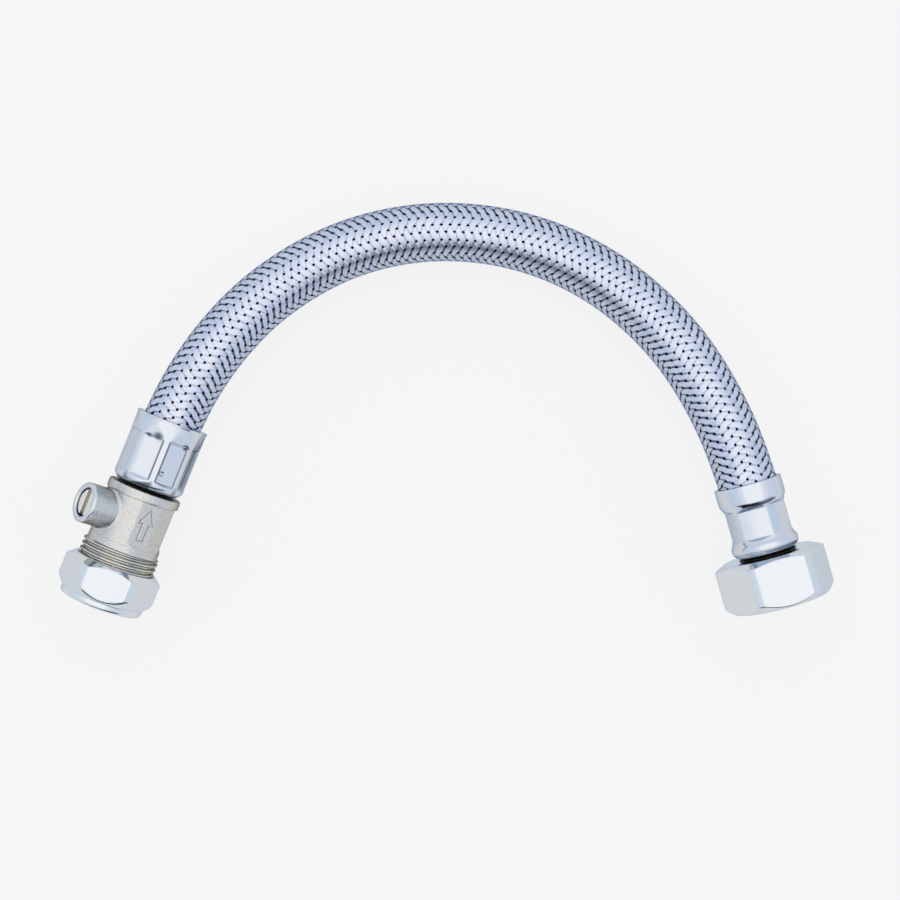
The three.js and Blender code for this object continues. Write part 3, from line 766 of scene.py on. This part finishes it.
# The boss's own frame: reach runs out along it from the valve's axis
boss_out = np.array(frame_joint("valve_turn")["axis"])
if boss_out[2] < 0:
    boss_out = -boss_out
boss_across = np.cross(valve.along, boss_out)
ball_centre = valve.on_axis(BALL_STATION)


def on_boss(points):
    """Points given as (right, reach, up) in the boss's frame, where up is along the valve"""
    return ball_centre + points @ np.array([boss_across, boss_out, valve.along])


def runs_along(quads, a, b):
    """Whether some quad runs from corner a to corner b"""
    return bool(((quads == a) & (np.roll(quads, -1, axis=1) == b)).any())


def closed_faces(rows, columns, points):
    """Quads of open rows with two flat ends, facing outwards"""
    quads = outward(points - points.mean(axis=0), grid_quads(rows, columns, wrap_rows=False))
    ends = [list(range(columns)), list(range((rows - 1) * columns, rows * columns))]
    ends = [row[::-1] if runs_along(quads, row[0], row[1]) else row for row in ends]
    return [list(q) for q in quads] + ends


def even_angles(count):
    return rad(np.arange(count) * 360 / count)


def turned_solid(name, profile, place, angles=even_angles(96)):
    """A closed solid from (radius, station) rows with flat ends; a row's numbers may vary with the angle"""
    radius = np.array([np.broadcast_to(r, len(angles)) for r, _ in profile])
    station = np.array([np.broadcast_to(s, len(angles)) for _, s in profile])
    points = np.stack([radius * np.sin(angles), station, radius * np.cos(angles)], -1).reshape(-1, 3)
    points = place(points)
    return new_object(name, points, closed_faces(len(profile), len(angles), points), quads=False)


def box_solid(name, low, high, place, flare=0.0):
    """A box whose top may flare out a little, used to cut slots"""
    (x0, y0, z0), (x1, y1, z1) = low, high
    corners = [(x0, y0, z0), (x1, y0, z0), (x1, y0, z1), (x0, y0, z1),
               (x0 - flare, y1, z0), (x1 + flare, y1, z0), (x1 + flare, y1, z1), (x0 - flare, y1, z1)]
    points = place(np.array(corners, float))
    quads = np.array([[0, 1, 2, 3], [7, 6, 5, 4], [0, 4, 5, 1], [1, 5, 6, 2], [2, 6, 7, 3], [3, 7, 4, 0]])
    return new_object(name, points, outward(points, quads))


SHARP_ANGLE = 32


def combined(name, first, steps, material):
    """One mesh from a solid and others joined to it or cut from it, sharp only at its steep edges"""
    for operation, other in steps:
        modifier = first.modifiers.new(operation.lower(), "BOOLEAN")
        modifier.operation = operation
        modifier.solver = "MANIFOLD"
        modifier.object = other
    graph = bpy.context.evaluated_depsgraph_get()
    mesh = bpy.data.meshes.new_from_object(first.evaluated_get(graph))
    mesh.name = name
    for used in [first] + [other for _, other in steps]:
        bpy.data.objects.remove(used)
    mesh.materials.clear()
    mesh.materials.append(material)
    mesh.shade_smooth()
    mesh.set_sharp_from_angle(angle=math.radians(SHARP_ANGLE))
    made = bpy.data.objects.new(name, mesh)
    bpy.context.scene.collection.objects.link(made)
    even = made.modifiers.new("even_normals", "WEIGHTED_NORMAL")
    even.keep_sharp = True
    return made


def valve_outside_rows():
    """The outside as (radius, station) rows: thread, neck, part with the flats, flange"""
    thread, thread_stations = thread_rows(body_angles, BODY_START + 0.3, THREAD_END - 0.3, ROOT, CREST)
    run_in = step_up(thread_stations, BODY_START, BODY_START + 1.6)
    rows = [(CREST - 1.15, BODY_START)]
    for row, station, share in zip(thread, thread_stations, run_in):
        rows.append((ROOT + (row - ROOT) * share, station))
    rows += [(NECK_RADIUS + 0.15, THREAD_END), (NECK_RADIUS, THREAD_END + 0.25)]
    rows += [(NECK_RADIUS, s) for s in np.linspace(THREAD_END + 0.6, NECK_END - 0.1, 5)]
    ramp_stations = np.linspace(NECK_END, NECK_END + 1.2, 8)
    for station in [*ramp_stations, *np.linspace(NECK_END + 1.6, FLANGE_START, 24)]:
        rise = 0.6 * (1 - step_up(station, NECK_END, NECK_END + 1.0))
        flats = [plane_reach(body_angles, PAD_DISTANCE + rise, turn) for turn in PADS]
        rows.append((soft_least([np.full(len(body_angles), BODY_RADIUS), *flats], 400), station))
    return rows + [(radius, FLANGE_START + s) for radius, s in FLANGE]


def boss_rows(angles):
    """The boss's outline: from inside the body, over the fillet at its foot, to its rounded end"""
    def surface(radius):
        return np.sqrt(BODY_RADIUS**2 - (radius * np.sin(angles)) ** 2)

    foot = BOSS_RADIUS + FILLET
    start = surface(BOSS_RADIUS) + FILLET
    rows = [(foot - 2.5, 3.0), (foot - 0.3, surface(foot) - 1.2)]
    for t in np.linspace(0, math.pi / 2, 9):
        radius = foot - FILLET * math.sin(t)
        rows.append((radius, surface(radius) - 0.06 + FILLET * (1 - math.cos(t))))
    for share in (0.35, 0.7, 1.0):
        rows.append((BOSS_RADIUS, start + (BOSS_REACH - BOSS_EDGE - start) * share))
    for t in np.linspace(0, math.pi / 2, 6)[1:]:
        inward, back = BOSS_EDGE * (1 - math.cos(t)), BOSS_EDGE * (1 - math.sin(t))
        rows.append((BOSS_RADIUS - inward, BOSS_REACH - back))
    return rows


# The flow arrow on the flat right of the top, and the (growth, height) layers of its groove and itself
ARROW = [(0, 5.3), (2.35, 0.6), (1.0, 0.6), (1.0, -5.2), (-1.0, -5.2), (-1.0, 0.6), (-2.35, 0.6)]
ARROW_TURN = 30.9
ARROW_STATION = BALL_STATION - 0.4
GROOVE_LAYERS = [(0.3, -0.25), (0.3, 1.5)]
ARROW_LAYERS = [(0, -0.4), (0, 0.3), (-0.28, 0.55)]


def grown(outline, amount):
    """An outline that runs clockwise, with each side moved outwards"""
    after, before = np.roll(outline, -1, axis=0), np.roll(outline, 1, axis=0)
    first = (outline - before) / np.linalg.norm(outline - before, axis=1)[:, None]
    second = (after - outline) / np.linalg.norm(after - outline, axis=1)[:, None]
    normal_a = np.stack([-first[:, 1], first[:, 0]], 1)
    normal_b = np.stack([-second[:, 1], second[:, 0]], 1)
    mitre = (normal_a + normal_b) / (1 + (normal_a * normal_b).sum(1))[:, None]
    return outline + amount * mitre


def arrow_prism(name, layers):
    """A solid in the arrow's shape, from (growth, height) layers"""
    turn = rad(ARROW_TURN)
    points = []
    for growth, rise in layers:
        out = PAD_DISTANCE + rise
        for across, along in grown(np.array(ARROW, float), growth):
            points.append([
                out * math.sin(turn) + across * math.cos(turn),
                ARROW_STATION + along,
                out * math.cos(turn) - across * math.sin(turn),
            ])
    points = valve.place(np.array(points))
    return new_object(name, points, closed_faces(len(layers), len(ARROW), points), quads=False)


# Machined places of the body: the thread and the end of the boss
thread_side = nickel.beyond(valve.on_axis(THREAD_END - 0.1), -valve.along)
nickel.area(thread_side, (0.60, 0.59, 0.55), 0.16)
boss_end = nickel.beyond(on_boss(np.array([0, BOSS_REACH - 0.9, 0])), boss_out)
nickel.area(boss_end, (0.66, 0.70, 0.74), 0.14)

# How deep the boss is hollow around the tang, and the chamfer of the stem's hole
POCKET_RADIUS = 5.9
POCKET_REACH = 11.5
HOLE_CHAMFER = 0.35


def valve_body():
    outside = turned_solid("outside", valve_outside_rows(), valve.place, body_angles)
    boss = turned_solid("boss", boss_rows(even_angles(144)), on_boss, even_angles(144))
    bore = turned_solid("bore", [
        (SOCKET_RADIUS + 2.25, BODY_START - 1), (SOCKET_RADIUS, BODY_START + 1.25),
        (SOCKET_RADIUS, SOCKET_END), (WEB_BORE, SOCKET_END), (WEB_BORE, WEB_END), (CHAMBER_BORE, WEB_END),
        (CHAMBER_BORE, TAIL_SEAT), (TAIL_BORE, TAIL_SEAT), (TAIL_BORE, BODY_END + 1),
    ], valve.place, even_angles(120))
    pocket = turned_solid("pocket", [(POCKET_RADIUS, 0), (POCKET_RADIUS, POCKET_REACH)], on_boss)
    hole = turned_solid("hole", [
        (STEM_BORE, 0), (STEM_BORE, BOSS_REACH - HOLE_CHAMFER), (STEM_BORE + HOLE_CHAMFER, BOSS_REACH),
        (STEM_BORE + HOLE_CHAMFER, BOSS_REACH + 1.7),
    ], on_boss)
    groove = arrow_prism("groove", GROOVE_LAYERS)
    arrow = arrow_prism("arrow", ARROW_LAYERS)
    steps = [("UNION", boss), ("DIFFERENCE", groove), ("UNION", arrow)]
    steps += [("DIFFERENCE", cut) for cut in (bore, pocket, hole)]
    return combined("valve_body_casting", outside, steps, nickel.material)


# Spindle: a collar, two O-ring grooves, a tang for the ball and a slot for a screwdriver
COLLAR_RADIUS = 5.6
RING_GROOVE = 3.2
RING_GROOVES = [(12.2, 14.2), (14.9, 16.9)]
TANG_LOW, TANG_HIGH = (-3.68, 7.0, -1.25), (3.68, 9.55, 1.25)
SLOT_HALF_WIDTH = 1.3
SLOT_HALF_LENGTH = 9
SLOT_BOTTOM = 17.4
SLOT_FLARE_START = 19.45


def spindle():
    profile = [(COLLAR_RADIUS, 8.8), (COLLAR_RADIUS, 10.3), (STEM_RADIUS, 10.3)]
    for start, end in RING_GROOVES:
        profile += [(STEM_RADIUS, start), (RING_GROOVE, start), (RING_GROOVE, end), (STEM_RADIUS, end)]
    profile += [(STEM_RADIUS, 19.25), (STEM_RADIUS - 0.12, 19.48), (STEM_RADIUS - 0.4, 19.6)]
    stem = turned_solid("stem", profile, on_boss)
    tang = box_solid("tang", TANG_LOW, TANG_HIGH, on_boss)
    side, end = SLOT_HALF_WIDTH, SLOT_HALF_LENGTH
    slot = box_solid("slot", (-side, SLOT_BOTTOM, -end), (side, SLOT_FLARE_START, end), on_boss)
    flare = box_solid("flare", (-side, SLOT_FLARE_START - 0.01, -end), (side, 19.7, end), on_boss, 0.25)
    steps = [("UNION", tang), ("DIFFERENCE", slot), ("DIFFERENCE", flare)]
    return combined("spindle_turned", stem, steps, spindle_metal.material)


# Ferrules
def blurred(points, step, blur, middle):
    """A smooth outline through (station, radius) points, as rows a step apart, or four in its middle"""
    stations = np.arange(points[0][0], points[-1][0] + step / 2, step)
    radius = np.interp(stations, [s for s, _ in points], [r for _, r in points])
    half = int(round(blur / step))
    kernel = np.hanning(2 * half + 3)[1:-1]
    padded = np.concatenate([np.full(half, radius[0]), radius, np.full(half, radius[-1])])
    smooth = np.convolve(padded, kernel / kernel.sum(), "valid")
    low, high = middle
    keep = (stations < low) | (stations > high) | (np.arange(len(stations)) % 4 == 0)
    return stations[keep], smooth[keep]


def turn_from(angles, turn=0):
    """How far angles lie from a turn, in degrees from -180 to 180"""
    return (np.degrees(angles) - turn + 180) % 360 - 180


# The painted shade and dark reflections on the ferrules are this strong at the most
DARKEST = 0.85


def ferrule(name, rows, inner, painted_shades, angles, fitting):
    """A ferrule from its outer rows, its inner corners and how dark the painted shade on each outer row is
    """
    outline = rounded([*[(r, s, 0) for r, s in rows], *inner], angles)
    made = turned(name, outline, angles, fitting, steel.material)
    dark = np.zeros(outline[0].shape)
    dark[:len(painted_shades)] = painted_shades
    mark(made, "painted_shade", np.clip(dark, 0, 1) * DARKEST)
    return made


# Valve ferrule: eight flats crimped between ribs. Its outline is (station, radius) points.
FERRULE_TURN = 35.8
FERRULE_STEP = 45
FERRULE_FLAT = 11.15
FERRULE_LIP = 8.3
RIM_RADIUS = 12.45
CRIMP_END = 17.2
FERRULE_OUTLINE = [
    (0, 10.2), (0.35, 10.85), (0.9, 11.5), (1.6, 11.98), (2.4, 12.12),
    (21.5, 12.12), (23, 12.2), (24, RIM_RADIUS),
]
ferrule_flats = [FERRULE_TURN + FERRULE_STEP * k for k in range(8)]
rib_sides = [t + FERRULE_STEP / 2 + side * 5 for t in ferrule_flats for side in (-1, 1)]
ferrule_angles = angles_about(rib_sides, 180, (0.5, 1.0, 1.6, 2.4))

# How dark the painted shade in the corner beside each rib is, from the rib right of the top all the way
# round
RIB_PAINTED_SHADES = [1.0, 0.9, 0.5, 0.6, 0.5, 0.6, 0.3, 0.15]

# How dark the painted reflections on the flat beyond the second rib are, at some turns from the top
SIDE_TURNS = [60.5, 63.5, 66, 69, 74, 77.5, 81, 90, 100]
SIDE_SHADES = [0, 0.85, 0.8, 0.35, 0.3, 0.85, 0.6, 0.35, 0]

# Small dents at the upper corners of the flats: (angle, station, size)
DENTS = [
    (-20, 17.5, 1.6), (-3.5, 18.2, 3.2), (49, 17.2, 1.7),
    (88, 17.2, 1.4), (140, 17.3, 1.4), (-120, 17.2, 1.4),
]
DENT_DEPTH = 0.22
PUNCH_TURN = 24.9
PUNCH_STATION = 6.8


def from_rib(angles):
    """Degrees from the middle of the nearest rib"""
    return np.abs((np.degrees(angles) - FERRULE_TURN) % FERRULE_STEP - FERRULE_STEP / 2)


def rib_height(angles):
    """1 on the ribs that stay between the crimped flats, 0 on the flats"""
    return 1 - step_up(from_rib(angles), 3.6, 6.0)


def rib_painted_shade(angles):
    """Painted shade in the corner between a rib and a flat"""
    number = np.floor((np.degrees(angles) - FERRULE_TURN) / FERRULE_STEP + 1).astype(int) % 8
    return np.clip(1.25 - np.abs(from_rib(angles) - 5.9) / 1.5, 0, 1) * np.array(RIB_PAINTED_SHADES)[number]


def rib_foot_painted_reflection(angles, station):
    """A painted dark reflection: a wedge below each rib, which ends where the rib starts"""
    rib_start = 3.7
    if station >= rib_start:
        return np.zeros(len(angles))
    width = 1 + 9 * np.clip((rib_start - station) / 2.2, 0, 1)
    return 0.7 * (1 - step_up(from_rib(angles), 0, width)) * step_up(station, 0.9, 1.5)


def foot_painted_reflection(angles, station):
    """A painted dark reflection: a wedge along the foot, growing towards one rib"""
    turn = turn_from(angles)
    width = np.clip((turn + 24) / 34, 0, 1) * (turn < 13)
    faded = 1 - step_up(station, 0.6 + 2.0 * width, 0.9 + 2.1 * width)
    return step_up(station, 0.5, 0.9) * faded * (width > 0)


def side_painted_reflections(angles, station):
    """Painted dark reflections: stripes on the flat beyond the second rib, which lean over and fade towards
    the rim
    """
    above = np.clip(station - CRIMP_END, 0, 7)
    shade = np.interp(turn_from(angles) - 1.2 * above, SIDE_TURNS, SIDE_SHADES)
    return shade * step_up(station, 2.2, 5) * (1 - 0.09 * above)


def dents(angles, station):
    total = np.zeros(len(angles))
    for turn, middle, size in DENTS:
        across = 11.6 * rad(turn_from(angles, turn))
        total += np.exp(-(across**2 + (1.4 * (station - middle)) ** 2) / (0.45 * size**2))
    return np.clip(total, 0, 1)


def from_punch(angles, station):
    return np.hypot(11.2 * rad(turn_from(angles, PUNCH_TURN)), station - PUNCH_STATION)


def punch_mark(angles, station):
    """The depth of a round punch mark on one flat"""
    return 0.3 * (1 - step_up(from_punch(angles, station), 0.35, 0.95))


# Painted shade: a dark ring round the rim of the punch mark
def punch_rim_painted_shade(angles, station):
    return np.clip(1 - np.abs(from_punch(angles, station) - 0.7) / 0.3, 0, 1)


def flat_distance(station):
    """How far the flats lie from the axis: more at the foot, and beyond the crimps towards the rim"""
    foot = np.clip(3.8 - station, 0, 5)
    step_out = 0.42 * step_up(station, CRIMP_END, CRIMP_END + 0.55)
    return FERRULE_FLAT + foot + step_out + 0.16 * np.clip(station - CRIMP_END - 0.55, 0, 9)


def valve_ferrule():
    stations, base = blurred(FERRULE_OUTLINE, 0.2, 0.4, (8.2, 15.0))
    around = ferrule_angles
    rows, painted_shades = [], []
    for station, round_radius in zip(stations, base):
        flats = [plane_reach(around, flat_distance(station), turn) for turn in ferrule_flats]
        pressed = soft_least([np.full(len(around), round_radius), *flats], 330)
        rib = step_up(station, 3.0, 4.2) * (1 - step_up(station, 16.8, 18.2))
        raised = pressed + np.maximum(round_radius - pressed, 0) * rib_height(around) * rib
        pits = dents(around, station)
        rows.append((raised - punch_mark(around, station) - DENT_DEPTH * pits, FERRULE_START + station))
        # Painted shade and dark reflections: beside the ribs, round the punch mark, below the ribs, in the
        # dents, along the foot and in stripes on the side
        painted_shades.append(np.max([
            rib_painted_shade(around) * rib + punch_rim_painted_shade(around, station),
            rib_foot_painted_reflection(around, station),
            step_up(pits, 0.22, 0.95),
            foot_painted_reflection(around, station),
            side_painted_reflections(around, station),
        ], axis=0))
    inner = [
        (RIM_RADIUS - 0.6, FERRULE_END, 0.1),
        (BORE_RADIUS + 0.3, FERRULE_END - 3.0, 0.5),
        (BORE_RADIUS, FERRULE_END - 5.5, 0.5),
        (BORE_RADIUS, FERRULE_START + 2.3, 0.4),
        (BORE_RADIUS - 0.9, FERRULE_START + 0.9, 0.4),
        (FERRULE_LIP, FERRULE_START + 0.9, 0.1),
        (FERRULE_LIP, FERRULE_START, 0.1),
    ]
    return ferrule("valve_end_ferrule_crimped", rows, inner, painted_shades, around, valve)


# Tap ferrule: six flats crimped into a waist between two bulges
WAIST_TURN = 41
WAIST_FLAT = 9.35
WAIST_BORE = 8.65
WAIST_START = 6.3
WAIST_END = 15.9
TAP_LIP = 7.85
TAP_OUTLINE = [
    (0, 9.6), (0.35, 10.15), (1.0, 10.8), (1.9, 11.35), (2.9, 11.5), (3.9, 11.3), (5.0, 10.6),
    (WAIST_START, 10.2), (WAIST_END, 10.2), (17.0, 10.7), (18.3, 11.35), (19.5, 11.45), (24.5, 11.45),
]
waist_flats = [WAIST_TURN + 60 * k for k in range(6)]
waist_angles = angles_about([t + 30 + d for t in waist_flats for d in (-6, 0, 6)], 144, (0.5, 1.2, 2.2))


def waist_painted_reflections(angles, station):
    """Painted dark reflections: wedges above the waist and along the foot, both growing towards the right"""
    turn = turn_from(angles)
    upper = np.clip((turn + 24) / 42, 0, 1) * np.clip((34 - turn) / 12, 0, 1)
    middle = 17.15 + 0.02 * turn
    above = np.clip(1.5 - np.abs(station - middle) / (0.15 + 0.55 * upper), 0, 1) * (upper > 0)
    lower = np.clip((turn + 12) / 50, 0, 1) * np.clip((62 - turn) / 14, 0, 1)
    below = np.clip(1.4 - np.abs(station - 1.35) / (0.12 + 0.5 * lower), 0, 1) * (lower > 0)
    return np.maximum(above, 0.75 * below)


def waist_distance(station):
    """How far the waist's flats lie from the axis, with a ramp at both ends"""
    ramp = np.clip((WAIST_START - station) * 1.2, 0, 5) + np.clip((station - WAIST_END) * 1.2, 0, 5)
    return WAIST_FLAT + ramp


def tap_ferrule():
    stations, base = blurred(TAP_OUTLINE, 0.2, 0.5, (7.0, 15.2))
    around = waist_angles
    rows = []
    for station, round_radius in zip(stations, base):
        flats = [crowned_reach(around, waist_distance(station), turn, 0.75) for turn in waist_flats]
        radius = soft_least([np.full(len(around), round_radius), *flats], 300)
        rows.append((radius, TAP_FERRULE_START + station))
    inner = [
        (BORE_RADIUS, TAP_FERRULE_END, 0.2),
        (BORE_RADIUS, TAP_FERRULE_END - 6.2, 0.5),
        (WAIST_BORE, TAP_FERRULE_END - 8.6, 0.5),
        (WAIST_BORE, TAP_FERRULE_START + WAIST_START, 0.5),
        (10.4, TAP_FERRULE_START + 3.6, 0.5),
        (10.0, TAP_FERRULE_START + 1.6, 0.5),
        (TAP_LIP, TAP_FERRULE_START + 0.7, 0.1),
        (TAP_LIP, TAP_FERRULE_START, 0.1),
    ]
    # Painted dark reflections above the waist and along the foot
    painted_shades = [waist_painted_reflections(around, station) for station in stations]
    return ferrule("tap_end_ferrule_crimped", rows, inner, painted_shades, around, tap)


# Swivel nut
SWIVEL_FLATS = 34
SWIVEL_FACETS = 37.8
SWIVEL_LENGTH = 17
SWIVEL_FACE_RADIUS = 16.2
SWIVEL_BACK_RADIUS = 15.4
SWIVEL_NECK_BORE = 9.8
SWIVEL_SHOULDER = 14
SWIVEL_FLANGE_BORE = 12.3
SWIVEL_THREAD_BORE = 12.9
swivel_angles = angles_about(hexagon_edges(SWIVEL_FLATS, SWIVEL_FACETS, 0), 180)


def swivel_nut():
    reach = hexagon_reach(swivel_angles, SWIVEL_FLATS, SWIVEL_FACETS, 0)
    front = 2.4 / (SWIVEL_FACETS / 2 - SWIVEL_FACE_RADIUS) * (reach - SWIVEL_FACE_RADIUS)
    back = 1.6 * (reach - SWIVEL_BACK_RADIUS) / 3.5
    threads, stations = thread_rows(swivel_angles, 9.0, 0.9, CREST, CREST - 1.1)
    corners = [
        (13.3, 0, 0.2),
        (SWIVEL_FACE_RADIUS, 0, 0.5),
        (reach, front, 0.5),
        (reach, SWIVEL_LENGTH - back, 0.4),
        (SWIVEL_BACK_RADIUS, SWIVEL_LENGTH, 0.3),
        (SWIVEL_NECK_BORE, SWIVEL_LENGTH, 0.15),
        (SWIVEL_NECK_BORE, SWIVEL_SHOULDER, 0.1),
        (SWIVEL_FLANGE_BORE, SWIVEL_SHOULDER, 0.2),
        (SWIVEL_FLANGE_BORE, 11.0, 0.1),
        (SWIVEL_THREAD_BORE, 10.4, 0.1),
        *plain_corners(threads, stations),
        (SWIVEL_THREAD_BORE, 0.5, 0),
    ]
    return turned("swivel_nut_body", rounded(corners, swivel_angles), swivel_angles, tap, chrome.material)


# Plain turned pieces: corners (radius, station, rounding)
OLIVE = [
    (SOCKET_RADIUS, 3.32, 0.1), (11.55, 3.32, 0.1), (12.3, 5.49, 1.2),
    (12.3, 7.35, 1.2), (11.55, 9.52, 0.1), (SOCKET_RADIUS, 9.52, 0.1),
]
TAP_WASHER = [(8.0, 9.0, 0.15), (11.7, 9.0, 0.15), (11.7, 11.2, 0.15), (8.0, 11.2, 0.15)]
VALVE_TAIL = [
    (4.75, 38.9, 0.1), (9.6, 38.9, 0.1), (9.6, 42.1, 0.1), (8.0, 42.1, 0.1), (8.0, 43.6, 0.1),
    (8.7, 43.6, 0.1), (8.7, 44.8, 0.1), (5.95, 44.8, 0.1), (5.95, 63.4, 0.1), (4.75, 63.4, 0.1),
]
TAP_TAIL = [
    (4.25, 11.5, 0.1), (11.7, 11.5, 0.2), (11.7, 13.7, 0.2), (9.5, 13.7, 0.1),
    (9.5, 17.4, 0.1), (7.55, 17.4, 0.1), (7.55, 18.7, 0.1), (8.05, 18.7, 0.1),
    (8.05, 19.7, 0.1), (5.0, 19.7, 0.1), (5.0, 39.2, 0.1), (4.25, 39.2, 0.1),
]


def plain_ring(name, corners, fitting, finish):
    angles = angles_about()
    return turned(name, rounded(corners, angles), angles, fitting, finish.material)


# Each piece with its body, its slot and the CAD node that it replaces
PIECES = [
    (compression_nut(), "compression_nut", "chrome_nut", "compression_nut"),
    (valve_body(), "connector", "nickel_body", "valve_body"),
    (spindle(), "spindle", "spindle_nickel", "spindle"),
    (valve_ferrule(), "connector", "ferrule_steel", "valve_end_ferrule"),
    (tap_ferrule(), "connector", "ferrule_steel", "tap_end_ferrule"),
    (swivel_nut(), "swivel_nut", "chrome_nut", "swivel_nut"),
    (plain_ring("olive_ring", OLIVE, valve, brass), "olive", "olive_brass", "olive"),
    (plain_ring("tap_seal_washer", TAP_WASHER, tap, fibre), "connector", "washer_fibre", "tap_washer"),
    (plain_ring("valve_tail", VALVE_TAIL, valve, painted_shade_brass), "connector", "tail_brass", "valve_hose_tail"),
    (plain_ring("tap_tail", TAP_TAIL, tap, painted_shade_brass), "connector", "tail_brass", "tap_hose_tail"),
]
for piece, body, slot, node in PIECES:
    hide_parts(node)
    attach(piece, body)

# The inner CAD nodes keep their shapes
for node, finish in (
    ("hose_liner", rubber), ("ball", ball_chrome), ("inlet_seat", plastic), ("outlet_seat", plastic),
    ("spindle_thrust_washer", plastic), ("spindle_oring_inner", seal), ("spindle_oring_outer", seal),
):
    carried = frame["nodes"][node]
    carried.data.materials.clear()
    carried.data.materials.append(finish.material)
